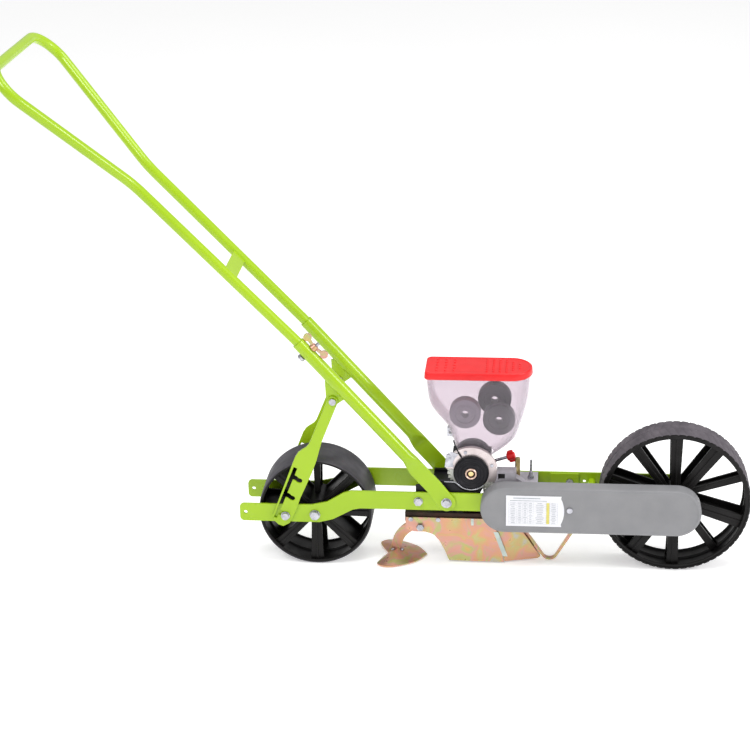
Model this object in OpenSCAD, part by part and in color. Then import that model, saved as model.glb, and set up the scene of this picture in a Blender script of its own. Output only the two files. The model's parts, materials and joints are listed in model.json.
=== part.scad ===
// Single-row push seeder. The front wheel drives the seed roller through a chain and a gear pair.
// +X points forwards, +Y to the machine's left and +Z up. The origin is on the ground under the middle.

/* [Wheels] */
// Diameter of the front drive wheel
front_wheel_d = 280; // [270:1:284]
// Width of the front wheel
front_wheel_w = 66; // [56:1:70]
// Number of spokes in the front wheel
front_spokes = 10; // [6:1:12]
// Diameter of the rear press wheel
rear_wheel_d = 216; // [206:1:217]
// Width of the rear wheel
rear_wheel_w = 86; // [70:1:88]
// Number of spokes in the rear wheel
rear_spokes = 8; // [6:1:10]
// Distance between the two axles
wheelbase = 673; // [665:1:680]

/* [Frame] */
// Gap between the two side plates
plate_gap = 99; // [98:1:100]
// Thickness of a side plate
plate_t = 4; // [3:0.5:4]
// Height of a side plate
plate_h = 36; // [34:1:38]
// Height of the centre line of the front stretch of the side plates
frame_z = 141.5; // [140:0.5:143]
// Height of the centre line of the tail of the side plates
tail_z = 110.5; // [109:0.5:112]

/* [Handle] */
// Outer diameter of the lower handle tubes
lower_tube_d = 24; // [23:0.5:25]
// Outer diameter of the upper handle tube
upper_tube_d = 19; // [18:0.5:20]
// Slope of the lower tubes above the ground, in degrees
handle_slope = 48.7; // [48:0.1:49.4]
// Overall width of the grip, between the corners of its centre line
grip_w = 373; // [340:1:400]
// Height of the grip's centre line
grip_z = 978; // [960:1:990]

/* [Drive] */
// Teeth of the sprocket on the front wheel's axle
front_teeth = 24; // [24]
// Teeth of the sprocket on the cross shaft
shaft_teeth = 16; // [16]
// Pitch of the chain
chain_pitch = 9.525; // [9.525]
// Number of links in the chain
chain_links = 86; // [86]
// Teeth of each gear of the pair
gear_teeth = 34; // [34]
// Module of the gears
gear_module = 2.5; // [2.5]

/* [Hopper] */
// Height of the hopper's rim
hopper_top = 391; // [380:1:394]
// Wall thickness of the hopper
hopper_wall = 2.5; // [2:0.5:3]
// Depth of the lid's skirt
lid_h = 16; // [14:1:18]

/* [Hidden] */
$fn = 48;
eps = 0.01;

// Places along the machine
grip_x = -659.5;
front_x = upper_tube_d / 2 - grip_x - front_wheel_d / 2;
rear_x = front_x - wheelbase;
front_z = front_wheel_d / 2;
rear_z = rear_wheel_d / 2;
plate_in = plate_gap / 2;
plate_out = plate_in + plate_t;
hole_x = -276;
tail_x = -287;
pivot_x = 105;
pivot_z = frame_z;
stud_x = -199.4;
stud_z = 107.3;
tie_x = [52, 376];
tie_r = 7.5;
splice_x = 334;
splice_end = [297, 351];

// Chain drive: the centre distance that a chain of this length needs
links_over = chain_links - (front_teeth + shaft_teeth) / 2;
tooth_share = pow((front_teeth - shaft_teeth) / (2 * PI), 2);
drive_span = chain_pitch / 4 * (links_over + sqrt(links_over * links_over - 8 * tooth_share));
shaft_z = frame_z;
shaft_x = front_x - sqrt(drive_span * drive_span - pow(shaft_z - front_z, 2));
front_pitch_r = chain_pitch / (2 * sin(180 / front_teeth));
shaft_pitch_r = chain_pitch / (2 * sin(180 / shaft_teeth));
chain_lean = asin((front_pitch_r - shaft_pitch_r) / drive_span);
chain_tip = atan2(front_z - shaft_z, front_x - shaft_x);
chain_run = drive_span * cos(chain_lean);
front_arc = front_pitch_r * (180 + 2 * chain_lean) * PI / 180;
shaft_arc = shaft_pitch_r * (180 - 2 * chain_lean) * PI / 180;
chain_step = (2 * chain_run + front_arc + shaft_arc) / chain_links;
front_seat = 90 + chain_lean + chain_tip;
shaft_seat = front_seat + (ceil(chain_run / chain_step) * chain_step - chain_run) / shaft_pitch_r * 180 / PI;
chain_y = -66;
cover_r = 46;
cover_back = -55;
cover_face = -84;

// Gear pair: the roller's axis stands one gear pitch diameter from the cross shaft
gear_pitch_r = gear_module * gear_teeth / 2;
gear_angle = 139.5;
roller_x = shaft_x + 2 * gear_pitch_r * cos(gear_angle);
roller_z = shaft_z + 2 * gear_pitch_r * sin(gear_angle);
gear_y = -30;
gear_w = 8;
roller_r = 31;
roller_w = 28;
disc_r = 33;

// Handle: lower tubes start above the pivot bolt, the upper tube slides inside them
tube_y = 56;
strap_in = plate_out + 0.5;
strap_out = strap_in + 4;
tube_foot = 102;
tube_top = 415;
tube_lift = 6.6;
upper_from = 300;
bend_x = -446.6;
bend_z = 755;
bend_y = 62;

// Strut: pinned to the tube tab at its top, hooked on the frame stud at its foot
strut_top_x = -103.5;
strut_top_z = 343;
strut_len = sqrt(pow(stud_x - strut_top_x, 2) + pow(stud_z - strut_top_z, 2));
strut_lean = atan2(stud_z - strut_top_z, stud_x - strut_top_x);
notch_3 = 176;

// Opener and coverer
coverer_x = 53;
coverer_z = 73;
screw_x = [35, 87, 180];
screw_z = 89;

// Deck of the gear case, with the depth rod and the clamp screw on it
deck_z = 174;
rod_at = [236, -10];
wing_at = [261, -10];

lime = [0.62, 0.80, 0.15];
zinc = [0.78, 0.68, 0.52];
black = [0.10, 0.10, 0.11];
steel = [0.72, 0.73, 0.76];
grey = [0.60, 0.60, 0.63];

// ---- helpers ----

// A cylinder along Y between two Y values
module rod_y(x, z, r, y0, y1) {
    translate([x, y1, z])
        rotate([90, 0, 0])
            cylinder(r = r, h = y1 - y0);
}

// A flat piece in the XZ plane between two Y values
module slab_y(points, y0, y1) {
    translate([0, y1, 0])
        rotate([90, 0, 0])
            linear_extrude(y1 - y0)
                polygon(points);
}

// A six-sided nut along Y
module nut_y(x, z, across, y0, y1) {
    translate([x, y1, z])
        rotate([90, 0, 0])
            cylinder(r = across / sqrt(3), h = y1 - y0, $fn = 6);
}

// The same piece on the right side and, mirrored, on the left side
module both_sides() {
    children();
    mirror([0, 1, 0])
        children();
}

function arc(cx, cz, r, from, to, n = 12) =
    [for (i = [0:n]) let (a = from + (to - from) * i / n) [cx + r * cos(a), cz + r * sin(a)]];

// Outline of a level stadium between two centres of the same height
function stadium(x0, x1, z, r) = concat(arc(x0, z, r, 90, 270, 24), arc(x1, z, r, -90, 90, 24));

// A closed loft through rings of points, each with the same number of points
module loft(rings) {
    n = len(rings[0]);
    last = len(rings) - 1;
    points = [for (ring = rings) each ring];
    walls = [for (k = [0:last - 1], i = [0:n - 1])
        let (j = (i + 1) % n)
        each [[k * n + i, (k + 1) * n + i, (k + 1) * n + j], [k * n + i, (k + 1) * n + j, k * n + j]]];
    bottom = [for (i = [0:n - 1]) i];
    top = [for (i = [0:n - 1]) last * n + n - 1 - i];
    polyhedron(points, concat(walls, [bottom, top]));
}

// ---- frame ----

function plate_outline(front_end) = concat(
    arc(tail_x + 8, tail_z + plate_h / 2 - 8, 8, 180, 90, 6),
    [[rear_x - 6, tail_z + plate_h / 2], [rear_x + 24, tail_z + plate_h / 2 + 7],
        [rear_x + 56, frame_z + plate_h / 2 - 4], [rear_x + 70, frame_z + plate_h / 2]],
    arc(front_end - 10, frame_z + plate_h / 2 - 10, 10, 90, 0, 6),
    arc(front_end - 10, frame_z - plate_h / 2 + 10, 10, 0, -90, 6),
    [[rear_x + 86, frame_z - plate_h / 2], [rear_x + 72, frame_z - plate_h / 2 - 3],
        [rear_x + 34, tail_z - plate_h / 2 + 7], [rear_x + 8, tail_z - plate_h / 2]],
    arc(tail_x + 8, tail_z - plate_h / 2 + 8, 8, -90, -180, 6));

module side_plate() {
    color(lime)
        difference() {
            slab_y(plate_outline(front_x + 26), -plate_out, -plate_in);
            rod_y(hole_x, tail_z, 3.5, -plate_out - 1, -plate_in + 1);
            rod_y(stud_x, stud_z, 4.05, -plate_out - 1, -plate_in + 1);
            rod_y(rear_x, rear_z, 5.05, -plate_out - 1, -plate_in + 1);
            rod_y(pivot_x, pivot_z, 4.05, -plate_out - 1, -plate_in + 1);
            rod_y(front_x, front_z, 11, -plate_out - 1, -plate_in + 1);
            rod_y(shaft_x, shaft_z, 9, -plate_out - 1, -plate_in + 1);
            rod_y(splice_x, frame_z, 4.05, -plate_out - 1, -plate_in + 1);
            rod_y(splice_x + 28, frame_z, 3, -plate_out - 1, -plate_in + 1);
            for (x = tie_x)
                rod_y(x, frame_z, 4.05, -plate_out - 1, -plate_in + 1);
        }
}

module side_plate_right() {
    side_plate();
}

module side_plate_left() {
    mirror([0, 1, 0])
        side_plate();
}

// Short plates on the inner faces that stiffen the joint of the front stretch
module splice_plates() {
    half = plate_h / 2 - 1;
    color(lime)
        both_sides()
            difference() {
                slab_y([[splice_end[0], frame_z - half], [splice_end[1], frame_z - half],
                    [splice_end[1], frame_z + half], [splice_end[0], frame_z + half]],
                    -plate_in, -plate_in + 4);
                rod_y(splice_x, frame_z, 4.05, -plate_in - 1, -plate_in + 5);
            }
}

// Spacer tubes that hold the side plates apart
module frame_ties() {
    color(lime)
        for (x = tie_x)
            difference() {
                rod_y(x, frame_z, tie_r, -plate_in, plate_in);
                rod_y(x, frame_z, 4.5, -plate_in - 1, plate_in + 1);
            }
}

// One through bolt in each tie and a short one in each splice, with washers and nuts
module frame_bolts() {
    color(steel) {
        for (x = tie_x) {
            rod_y(x, frame_z, 4, -plate_out - 1, plate_out + 1);
            both_sides() {
                rod_y(x, frame_z, 8.5, -plate_out - 1.4, -plate_out);
                nut_y(x, frame_z, 14, -plate_out - 6, -plate_out - 1.4 + eps);
            }
        }
        both_sides() {
            rod_y(splice_x, frame_z, 4, -plate_out - 0.5, -plate_in + 8);
            rod_y(splice_x, frame_z, 7, -plate_in + 4, -plate_in + 9);
        }
    }
}

// Studs that the struts hook on
module strut_studs() {
    color(steel)
        both_sides() {
            rod_y(stud_x, stud_z, 4, -strap_out - 1.5, -plate_in + 4);
            nut_y(stud_x, stud_z, 13, -plate_in, -plate_in + 5);
            rod_y(stud_x, stud_z, 8.5, -strap_out - 2, -strap_out - 0.5);
            rod_y(stud_x, stud_z, 7, -strap_out - 7, -strap_out - 2 + eps);
        }
}

// Bolts that the handle tilts on
module handle_pivot_bolts() {
    color(steel)
        both_sides() {
            rod_y(pivot_x, pivot_z, 4, -strap_out - 1, -plate_in + 2.5);
            nut_y(pivot_x, pivot_z, 13, -plate_in, -plate_in + 2.5);
            rod_y(pivot_x, pivot_z, 10, -strap_out - 1.7, -strap_out - 0.5);
            rod_y(pivot_x, pivot_z, 7.5, -strap_out - 6.5, -strap_out - 1.7 + eps);
        }
}

// Fixed axle bolt of the rear wheel, with its washers and nuts
module rear_axle() {
    color(steel) {
        rod_y(rear_x, rear_z, 5, -plate_out - 5, plate_out + 5);
        both_sides() {
            rod_y(rear_x, rear_z, 10, -plate_out - 1.5, -plate_out);
            nut_y(rear_x, rear_z, 16, -plate_out - 7, -plate_out - 1.5 + eps);
        }
    }
}

// Flanged bushes in the side plates for the front axle and the cross shaft
module plate_bushes() {
    color("goldenrod")
        both_sides() {
            difference() {
                union() {
                    rod_y(front_x, front_z, 11, -plate_out - 0.5, -plate_in + 1);
                    rod_y(front_x, front_z, 14, -plate_in, -plate_in + 3);
                }
                rod_y(front_x, front_z, 8.05, -plate_out - 1, -plate_in + 4);
            }
            difference() {
                union() {
                    rod_y(shaft_x, shaft_z, 9, -plate_out - 0.5, -plate_in + 1);
                    rod_y(shaft_x, shaft_z, 12, -plate_in, -plate_in + 2);
                }
                rod_y(shaft_x, shaft_z, 6.05, -plate_out - 1, -plate_in + 4);
            }
        }
}

// ---- wheels ----

// Spokes, hub and rim of a wheel; rib is the deeper web behind each spoke's face
module spoked_wheel(x, z, r_out, r_in, w, spokes, spoke_w, hub_r, hub_w, bore, web) {
    translate([x, 0, z])
        rotate([90, 0, 0])
            difference() {
                union() {
                    difference() {
                        cylinder(r = r_out, h = w, center = true, $fn = 96);
                        cylinder(r = r_in, h = w + 2, center = true, $fn = 96);
                    }
                    cylinder(r = hub_r, h = hub_w, center = true);
                    for (i = [0:spokes - 1])
                        rotate([0, 0, 90 + i * 360 / spokes])
                            translate([hub_r - 4, 0, 0]) {
                                translate([0, -spoke_w / 2, -web / 2])
                                    cube([r_in + 3 - hub_r + 4, spoke_w, web]);
                            }
                }
                cylinder(r = bore, h = hub_w + 2, center = true);
            }
}

module front_tyre() {
    half = front_wheel_w / 2;
    color([0.35, 0.34, 0.36])
        translate([front_x, 0, front_z])
            rotate([90, 0, 0])
                rotate_extrude($fn = 96)
                    polygon([[front_z - 8, -half], [front_z - 2, -half], [front_z, -half + 5],
                        [front_z, half - 5], [front_z - 2, half], [front_z - 8, half]]);
}

module front_wheel() {
    color(black)
        spoked_wheel(front_x, front_z, front_z - 8, front_z - 16, front_wheel_w - 3,
            front_spokes, 11, 24, 60, 8, 34);
}

module front_axle() {
    color(steel) {
        rod_y(front_x, front_z, 8, -74, plate_out + 6);
        rod_y(front_x, front_z, 11, plate_out + 1, plate_out + 5.5);
        nut_y(front_x, front_z, 13, -78, -74 + eps);
    }
}

module rear_wheel() {
    color(black)
        spoked_wheel(rear_x, rear_z, rear_z, rear_z - 7, rear_wheel_w,
            rear_spokes, 12, 20, 80, 8, 30);
}

// Steel sleeve that is pressed in the rear wheel's hub and runs on the axle
module rear_bush() {
    color(steel)
        difference() {
            rod_y(rear_x, rear_z, 8, -46, 46);
            rod_y(rear_x, rear_z, 5.05, -47, 47);
        }
}

// ---- chain drive ----

// A sprocket: a disc with one round seat for each chain roller
module sprocket(x, z, teeth, pitch_r, bore, y, seat) {
    translate([x, y, z])
        rotate([90, 0, 0])
            difference() {
                union() {
                    cylinder(r = pitch_r + 2.4, h = 4.5, center = true, $fn = 96);
                    cylinder(r = bore + 6, h = 10, center = true);
                }
                for (i = [0:teeth - 1])
                    rotate([0, 0, seat + i * 360 / teeth])
                        translate([pitch_r, 0, 0])
                            cylinder(r = 3.6, h = 12, center = true, $fn = 24);
                cylinder(r = bore, h = 12, center = true);
            }
}

module drive_sprocket() {
    color(steel)
        sprocket(front_x, front_z, front_teeth, front_pitch_r, 8, chain_y, front_seat);
}

module driven_sprocket() {
    color(steel)
        sprocket(shaft_x, shaft_z, shaft_teeth, shaft_pitch_r, 6, chain_y, shaft_seat);
}

// Outline of the chain's path, moved out by a distance: one arc round each sprocket
function chain_outline(out) = concat(
    arc(shaft_x, shaft_z, shaft_pitch_r + out, front_seat, front_seat + 180 - 2 * chain_lean, 24),
    arc(front_x, front_z, front_pitch_r + out, front_seat - 180 - 2 * chain_lean, front_seat, 36));

// A point on a sprocket's pitch circle
function pitch_point(x, z, r, a) = [x + r * cos(a), z + r * sin(a)];

// Position on the chain's path at a distance from the top of the drive sprocket
function chain_point(s) =
    let (slope = chain_lean + chain_tip,
        back_slope = chain_tip - chain_lean,
        turn = front_seat + 180 - 2 * chain_lean,
        top = pitch_point(front_x, front_z, front_pitch_r, front_seat),
        low = pitch_point(shaft_x, shaft_z, shaft_pitch_r, turn),
        on_shaft = s - chain_run,
        on_low = on_shaft - shaft_arc,
        on_front = on_low - chain_run,
        degrees = 180 / PI)
    on_shaft < 0 ? top - s * [cos(slope), sin(slope)] :
    on_low < 0 ? pitch_point(shaft_x, shaft_z, shaft_pitch_r, front_seat + on_shaft / shaft_pitch_r * degrees) :
    on_front < 0 ? low + on_low * [cos(back_slope), sin(back_slope)] :
    pitch_point(front_x, front_z, front_pitch_r, turn - 360 + on_front / front_pitch_r * degrees);

// Roller chain: a strip of link plates on each side and one pin for each link
module chain() {
    color([0.35, 0.33, 0.30]) {
        for (side = [-1, 1])
            translate([0, chain_y + side * 4.2 + 0.7, 0])
                rotate([90, 0, 0])
                    linear_extrude(1.4)
                        difference() {
                            polygon(chain_outline(3.2));
                            polygon(chain_outline(-3.2));
                        }
        for (i = [0:chain_links - 1])
            let (p = chain_point(i * chain_step))
            rod_y(p[0], p[1], 1.4, chain_y - 4.6, chain_y + 4.6, $fn = 16);
    }
}

// Back plate of the chain cover, bolted on the right side plate
module chain_cover_back() {
    color(grey)
        difference() {
            slab_y(stadium(shaft_x, front_x, frame_z, cover_r - 2.3), cover_back - 2, cover_back);
            rod_y(shaft_x, shaft_z, 10, cover_back - 3, cover_back + 1);
            rod_y(front_x, front_z, 12, cover_back - 3, cover_back + 1);
            rod_y(tie_x[1], frame_z, 9.5, cover_back - 3, cover_back + 1);
        }
}

// Moulded cover over the chain, open at its back
module chain_cover() {
    color(grey)
        difference() {
            union() {
                slab_y(stadium(shaft_x, front_x, frame_z, cover_r - 1.5), cover_face, cover_back);
                slab_y(stadium(shaft_x, front_x, frame_z, cover_r), cover_face + 3, cover_back);
            }
            slab_y(stadium(shaft_x, front_x, frame_z, cover_r - 2.3), cover_face + 2.5, cover_back + 1);
            rod_y(splice_x, frame_z + 3, 2.6, cover_face - 1, cover_face + 4);
        }
}

// Screw that holds the cover to a pillar on its back plate
module cover_screw() {
    color(steel) {
        rod_y(splice_x, frame_z + 3, 2.5, cover_face - 0.5, cover_back - 2);
        rod_y(splice_x, frame_z + 3, 6, cover_face - 2.5, cover_face);
    }
}

// Blank card for the seed spacing table, stuck on the cover
module rate_label() {
    x0 = shaft_x + 2;
    x1 = x0 + 107;
    color("white")
        slab_y(concat([[x0, frame_z + 31], [x0, frame_z - 31], [x1 - 4, frame_z - 31]],
            arc(x1 - 60, frame_z, 60, -26, 26, 8), [[x1 - 4, frame_z + 31]]),
            cover_face - 0.4, cover_face);
}

// ---- gears and metering unit ----

function inv(a) = tan(a) * 180 / PI - a;

// Half the angle of an involute tooth at a radius, thinned for backlash
function tooth_half(r) =
    let (base = gear_pitch_r * cos(20), at = acos(min(1, base / max(r, base))))
    90 / gear_teeth + inv(20) - inv(at) - 0.2;

function gear_outline() =
    let (base = gear_pitch_r * cos(20), tip = gear_pitch_r + gear_module * 0.92,
        root = gear_pitch_r - gear_module * 1.25,
        flank = [root, base, base + 1, (base + tip) / 2, tip - 0.8, tip])
    [for (i = [0:gear_teeth - 1])
        let (middle = i * 360 / gear_teeth)
        each concat([for (r = flank) let (a = middle - tooth_half(r)) [r * cos(a), r * sin(a)]],
            [for (k = [5:-1:0]) let (r = flank[k], a = middle + tooth_half(r)) [r * cos(a), r * sin(a)]])];

// A spur gear with a hub, turned so that a tooth points at the given angle
module spur_gear(x, z, angle, bore) {
    translate([x, gear_y + gear_w / 2, z])
        rotate([90, 0, 0])
            difference() {
                rotate([0, 0, angle])
                    linear_extrude(gear_w)
                        polygon(gear_outline());
                translate([0, 0, -1])
                    cylinder(r = bore, h = gear_w + 2);
            }
}

module drive_gear() {
    color("white")
        spur_gear(shaft_x, shaft_z, gear_angle, 6);
}

module roller_gear() {
    color("white")
        spur_gear(roller_x, roller_z, gear_angle + 180 + 180 / gear_teeth, 5);
}

// Shaft between the side plates that carries the small sprocket and a gear
module cross_shaft() {
    color(steel) {
        rod_y(shaft_x, shaft_z, 6, -73, plate_out + 5);
        nut_y(shaft_x, shaft_z, 11, -76, -73 + eps);
        rod_y(shaft_x, shaft_z, 8.5, plate_out + 1, plate_out + 4);
    }
}

// Cast bridge between the side plates: a tall block over the gear with a square socket, and a low deck
module gear_case() {
    left = 192;
    right = 274;
    wall = 11;
    guard_r = gear_pitch_r + 7;
    color(grey)
        difference() {
            union() {
                translate([rod_at[0], rod_at[1], deck_z - 2])
                    cylinder(r = 9, h = 5);
                translate([left, -47, 126])
                    cube([42, 25, 76]);
                intersection() {
                    rod_y(shaft_x, shaft_z, guard_r, -40, -21);
                    translate([left, -41, deck_z - 10])
                        cube([right - left - 8, 20, 30]);
                }
                translate([left, -47, 126])
                    cube([right - left, wall, deck_z - 126]);
                translate([left, -47, deck_z - 10])
                    cube([right - left, 65, 10]);
                translate([left, 8, deck_z - 24])
                    cube([right - left, 39, 10]);
                translate([left, 8, deck_z - 24])
                    cube([right - left, 10, 24]);
                translate([left, 47 - wall, 126])
                    cube([right - left, wall, deck_z - 14 - 126]);
            }
            rod_y(shaft_x, shaft_z, 6.6, -50, 50);
            rod_y(shaft_x, shaft_z, gear_pitch_r + 4.5, -37, -24);
            rod_y(roller_x, roller_z, 48.2, -50, 50);
            translate([left - 1, -24.5, 120])
                cube([44, 3, 44]);
            translate([200.5, -48, 187])
                cube([13, 9, 12]);
            translate([rod_at[0], rod_at[1], deck_z - 20])
                cylinder(r = 5.4, h = 26);
            translate([wing_at[0], wing_at[1], deck_z - 20])
                cylinder(r = 3.1, h = 24);
            for (y = [-50, 45])
                rod_y(shaft_x, shaft_z, 13, y, y + 5.2);
        }
}

// Cast saddle that the metering unit sits in
module housing_base() {
    color(black)
        difference() {
            union() {
                slab_y([[47, 128], [172, 128], [172, 171], [124, 178], [118, 181], [84, 181], [62, 172],
                    [47, 170]], -47, -39);
                slab_y([[76, 128], [172, 128], [172, 165], [76, 165]], 39, 47);
                translate([76, -40, 150])
                    cube([34, 80, 10]);
            }
            rod_y(tie_x[0], frame_z, tie_r + 0.5, -50, 50);
            rod_y(roller_x, roller_z, 37, -50, 50);
            rod_y(shaft_x, shaft_z, 50, -50, 50);
            rod_y(pivot_x, pivot_z, 9, -50, 50);
        }
}

// Runs its children along the brush knob's stud, from a distance along it
module along_knob(t) {
    translate([roller_x + 30, 10, roller_z - 1.2])
        rotate([0, 72, 0])
            translate([0, 0, t])
                children();
}

// Drum housing round the seed roller, open above to the hopper and below to the chute
module roller_housing() {
    color(black)
        difference() {
            union() {
                rod_y(roller_x, roller_z, 36, -23, 23);
                translate([roller_x - 36, -23, roller_z])
                    cube([72, 46, 26]);
                translate([roller_x - 20, -20, roller_z - 44])
                    cube([40, 40, 30]);
                rod_y(roller_x, roller_z, 35.5, 22, 38.9);
            }
            translate([roller_x - 40, -24, roller_z + 26])
                cube([80, 51, 12]);
            rod_y(roller_x, roller_z, roller_r + 0.5, -15, 15);
            translate([roller_x - 24, -15, roller_z])
                cube([48, 30, 60]);
            translate([roller_x - 12, -12, roller_z - 60])
                cube([24, 24, 60]);
            rod_y(roller_x, roller_z, 5.05, -30, 40);
            translate([roller_x + 24 - eps, -10, roller_z + 12])
                cube([8, 20, 16]);
            along_knob(2.8)
                cylinder(r = 3.06, h = 12);
        }
}

// Zinc-plated guard plate in front of the roller's gear
module housing_ring() {
    color(zinc)
        difference() {
            union() {
                rod_y(roller_x, roller_z, 47.8, -37, -35);
                difference() {
                    rod_y(roller_x, roller_z, 49.8, -38, -30);
                    rod_y(roller_x, roller_z, 47.8, -39, -24);
                    translate([roller_x - 60, -40, roller_z - 60])
                        cube([120, 20, 72]);
                }
            }
            rod_y(roller_x, roller_z, 12, -40, -20);
            translate([roller_x - 60, -40, roller_z - 70])
                cube([60, 30, 76]);
            translate([roller_x - 1, -40, roller_z - 70])
                cube([61, 30, 50]);
            rod_y(shaft_x, shaft_z, 37, -40, -20);
            for (a = [20, 105])
                rod_y(roller_x + 41 * cos(a), roller_z + 41 * sin(a), 1.6, -40, -20);
        }
}

module housing_screws() {
    color(steel)
        for (a = [20, 105])
            let (x = roller_x + 41 * cos(a), z = roller_z + 41 * sin(a)) {
                rod_y(x, z, 1.5, -38, -35);
                rod_y(x, z, 3.4, -39, -37);
            }
}

// Bristle block that stands just clear of the roller
module brush() {
    profile = [[28.9, 12.5], [24.6, 20], [24.6, 25.5], [31.8, 25.5], [31.8, 12.5]];
    color("dimgray")
        slab_y([for (p = profile) [roller_x + p[0], roller_z + p[1]]], -9.5, 9.5);
}

module seed_roller() {
    color([0.75, 0.75, 0.78])
        difference() {
            rod_y(roller_x, roller_z, roller_r, -14, 14);
            rod_y(roller_x, roller_z, 5, -15, 15);
            for (i = [0:11])
                translate([roller_x, 0, roller_z])
                    rotate([0, i * 30 + 15, 0])
                        translate([0, 0, roller_r - 4])
                            cylinder(r = 4, h = 8, $fn = 24);
        }
}

module roller_shaft() {
    color(steel)
        rod_y(roller_x, roller_z, 5, -46, 42);
}

// Black cap that turns with the roller's shaft
module roller_disc() {
    color(black)
        difference() {
            union() {
                rod_y(roller_x, roller_z, disc_r - 2, -46, -38);
                rod_y(roller_x, roller_z, disc_r, -44, -38);
            }
            rod_y(roller_x, roller_z, 11, -47, -42);
            rod_y(roller_x, roller_z, 5, -47, -37);
        }
}

module brass_bush() {
    color("gold")
        difference() {
            rod_y(roller_x, roller_z, 11, -48, -42);
            rod_y(roller_x, roller_z, 5, -49, -41);
        }
}

// ---- hopper ----

// One level ring of the hopper: square at the back, round in front
function hopper_ring(x0, x1, half, z) =
    let (c = min(9, half - 1), ends = [for (p = arc(0, 0, 1, -90, 90, 16)) p])
    concat([for (p = arc(x0 + c, -half + c, c, 180, 270, 5)) [p[0], p[1], z]],
        [for (p = ends) [x1 - half * 0.9 + half * 0.9 * p[0], half * p[1], z]],
        [for (p = arc(x0 + c, half - c, c, 90, 180, 5)) [p[0], p[1], z]]);

// Back edge, front edge and half depth of the hopper at each height
hopper_levels = [[124, 192, 24, 222], [117, 228, 26, 252], [106, 241, 31, 285], [86, 249, 35, 312],
    [74, 254, 38, 334], [69, 257, 39, 362], [67, 259, 40, hopper_top]];

module hopper() {
    n = len(hopper_levels) - 1;
    outer = [for (l = hopper_levels) hopper_ring(l[0], l[1], l[2], l[3])];
    w = hopper_wall;
    inner = [for (i = [0:n])
        let (l = hopper_levels[i], z = i == 0 ? l[3] - 1 : i == n ? l[3] + 1 : l[3])
        hopper_ring(l[0] + w, l[1] - w, l[2] - w, z)];
    color([0.85, 0.82, 0.88, 0.4])
        difference() {
            loft(outer);
            loft(inner);
            translate([roller_x - 46, -26, roller_z])
                cube([92, 52, 26]);
        }
}

module lid_solid(grow, z0, z1) {
    ring = [for (p = hopper_ring(67 - grow, 259 + grow, 40 + grow, 0)) [p[0], p[1]]];
    translate([0, 0, z0])
        linear_extrude(z1 - z0)
            polygon(ring);
}

module lid() {
    color("red")
        difference() {
            union() {
                lid_solid(3, hopper_top - lid_h + 8, hopper_top + 5.5);
                lid_solid(1.5, hopper_top + 5, hopper_top + 7);
            }
            lid_solid(0.4, hopper_top - lid_h, hopper_top + 0.4);
        }
}

// Wire catch on the back of the hopper
module hopper_clip() {
    color(steel)
        difference() {
            translate([104, -6, 254])
                cube([12, 12, 18]);
            rod_y(110, 263, 3, -7, 7);
            loft([for (l = hopper_levels) hopper_ring(l[0], l[1], l[2], l[3])]);
        }
}

module loose_roller(r) {
    rotate([90, 0, 0])
        difference() {
            cylinder(r = r, h = 20, center = true);
            cylinder(r = 5, h = 22, center = true);
            for (side = [-1, 1])
                translate([0, 0, side * 10])
                    cylinder(r = 11, h = 3, center = true);
        }
}

module spare_roller_light() {
    color([0.7, 0.68, 0.72])
        translate([138, -12, 307])
            loose_roller(29);
}

module spare_rollers_dark() {
    color([0.3, 0.29, 0.32]) {
        translate([201, -12, 296])
            loose_roller(30);
        translate([192, 12, 327])
            loose_roller(31);
    }
}

// Chute that leads the seed down between the opener plates
module seed_chute() {
    color([0.2, 0.2, 0.2])
        difference() {
            translate([roller_x - 15, -15, 106])
                cube([30, 30, roller_z - 44 - 106]);
            translate([roller_x - 12, -12, 100])
                cube([24, 24, 80]);
        }
}

// ---- knobs and screws ----

// Stud and two-winged grip of the brush adjuster
module brush_knob() {
    color("red") {
        along_knob(3)
            cylinder(r = 3, h = 36);
        along_knob(37)
            cylinder(r = 7.5, h = 16);
        along_knob(39)
            translate([-12, -3.5, 0])
                cube([24, 7, 12]);
    }
}

// Clamp screw of the gear case, with a bent wire wing
module wing_screw() {
    color(steel)
        translate([wing_at[0], wing_at[1], deck_z]) {
            translate([0, 0, -17])
                cylinder(r = 3, h = 30);
            translate([0, 0, 0.3])
                cylinder(r = 6, h = 7);
            translate([-1.5, -9, 7])
                cube([3, 18, 7]);
            for (side = [-1, 1])
                translate([0, side * 9, 9])
                    cylinder(r = 2.5, h = 25);
        }
}

// ---- opener and coverer ----

// Channel that carries the opener between the side plates
module opener_bracket() {
    color([0.28, 0.18, 0.12])
        difference() {
            union() {
                translate([24, -21, 98])
                    cube([346, 42, 4]);
                for (y = [-21, 18])
                    translate([24, y, 84])
                        cube([346, 3, 16]);
            }
            translate([roller_x - 16.5, -16.5, 90])
                cube([33, 33, 20]);
            for (x = screw_x)
                rod_y(x, screw_z, 2.55, -22, 22);
        }
}

// Threaded rod on the bracket that sets how deep the opener works
module depth_rod() {
    color(zinc)
        translate([rod_at[0], rod_at[1], 102]) {
            cylinder(r = 5, h = 114);
            cylinder(r = 9, h = 6);
        }
}

opener_side = [[25, 93], [25, 68], [42, 63], [62, 63], [72, 60], [79, 57], [89, 45], [99, 25],
    [107, 4], [154, 3], [212, 3], [198, 67], [190, 93]];

module opener_plate(y0) {
    color(zinc)
        difference() {
            slab_y(opener_side, y0, y0 + 3);
            for (x = screw_x)
                rod_y(x, screw_z, 2.6, y0 - 1, y0 + 4);
            rod_y(coverer_x, coverer_z, 4.05, y0 - 1, y0 + 4);
        }
}

module opener_plate_right() {
    opener_plate(-24);
}

module opener_plate_left() {
    opener_plate(21);
}

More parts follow.
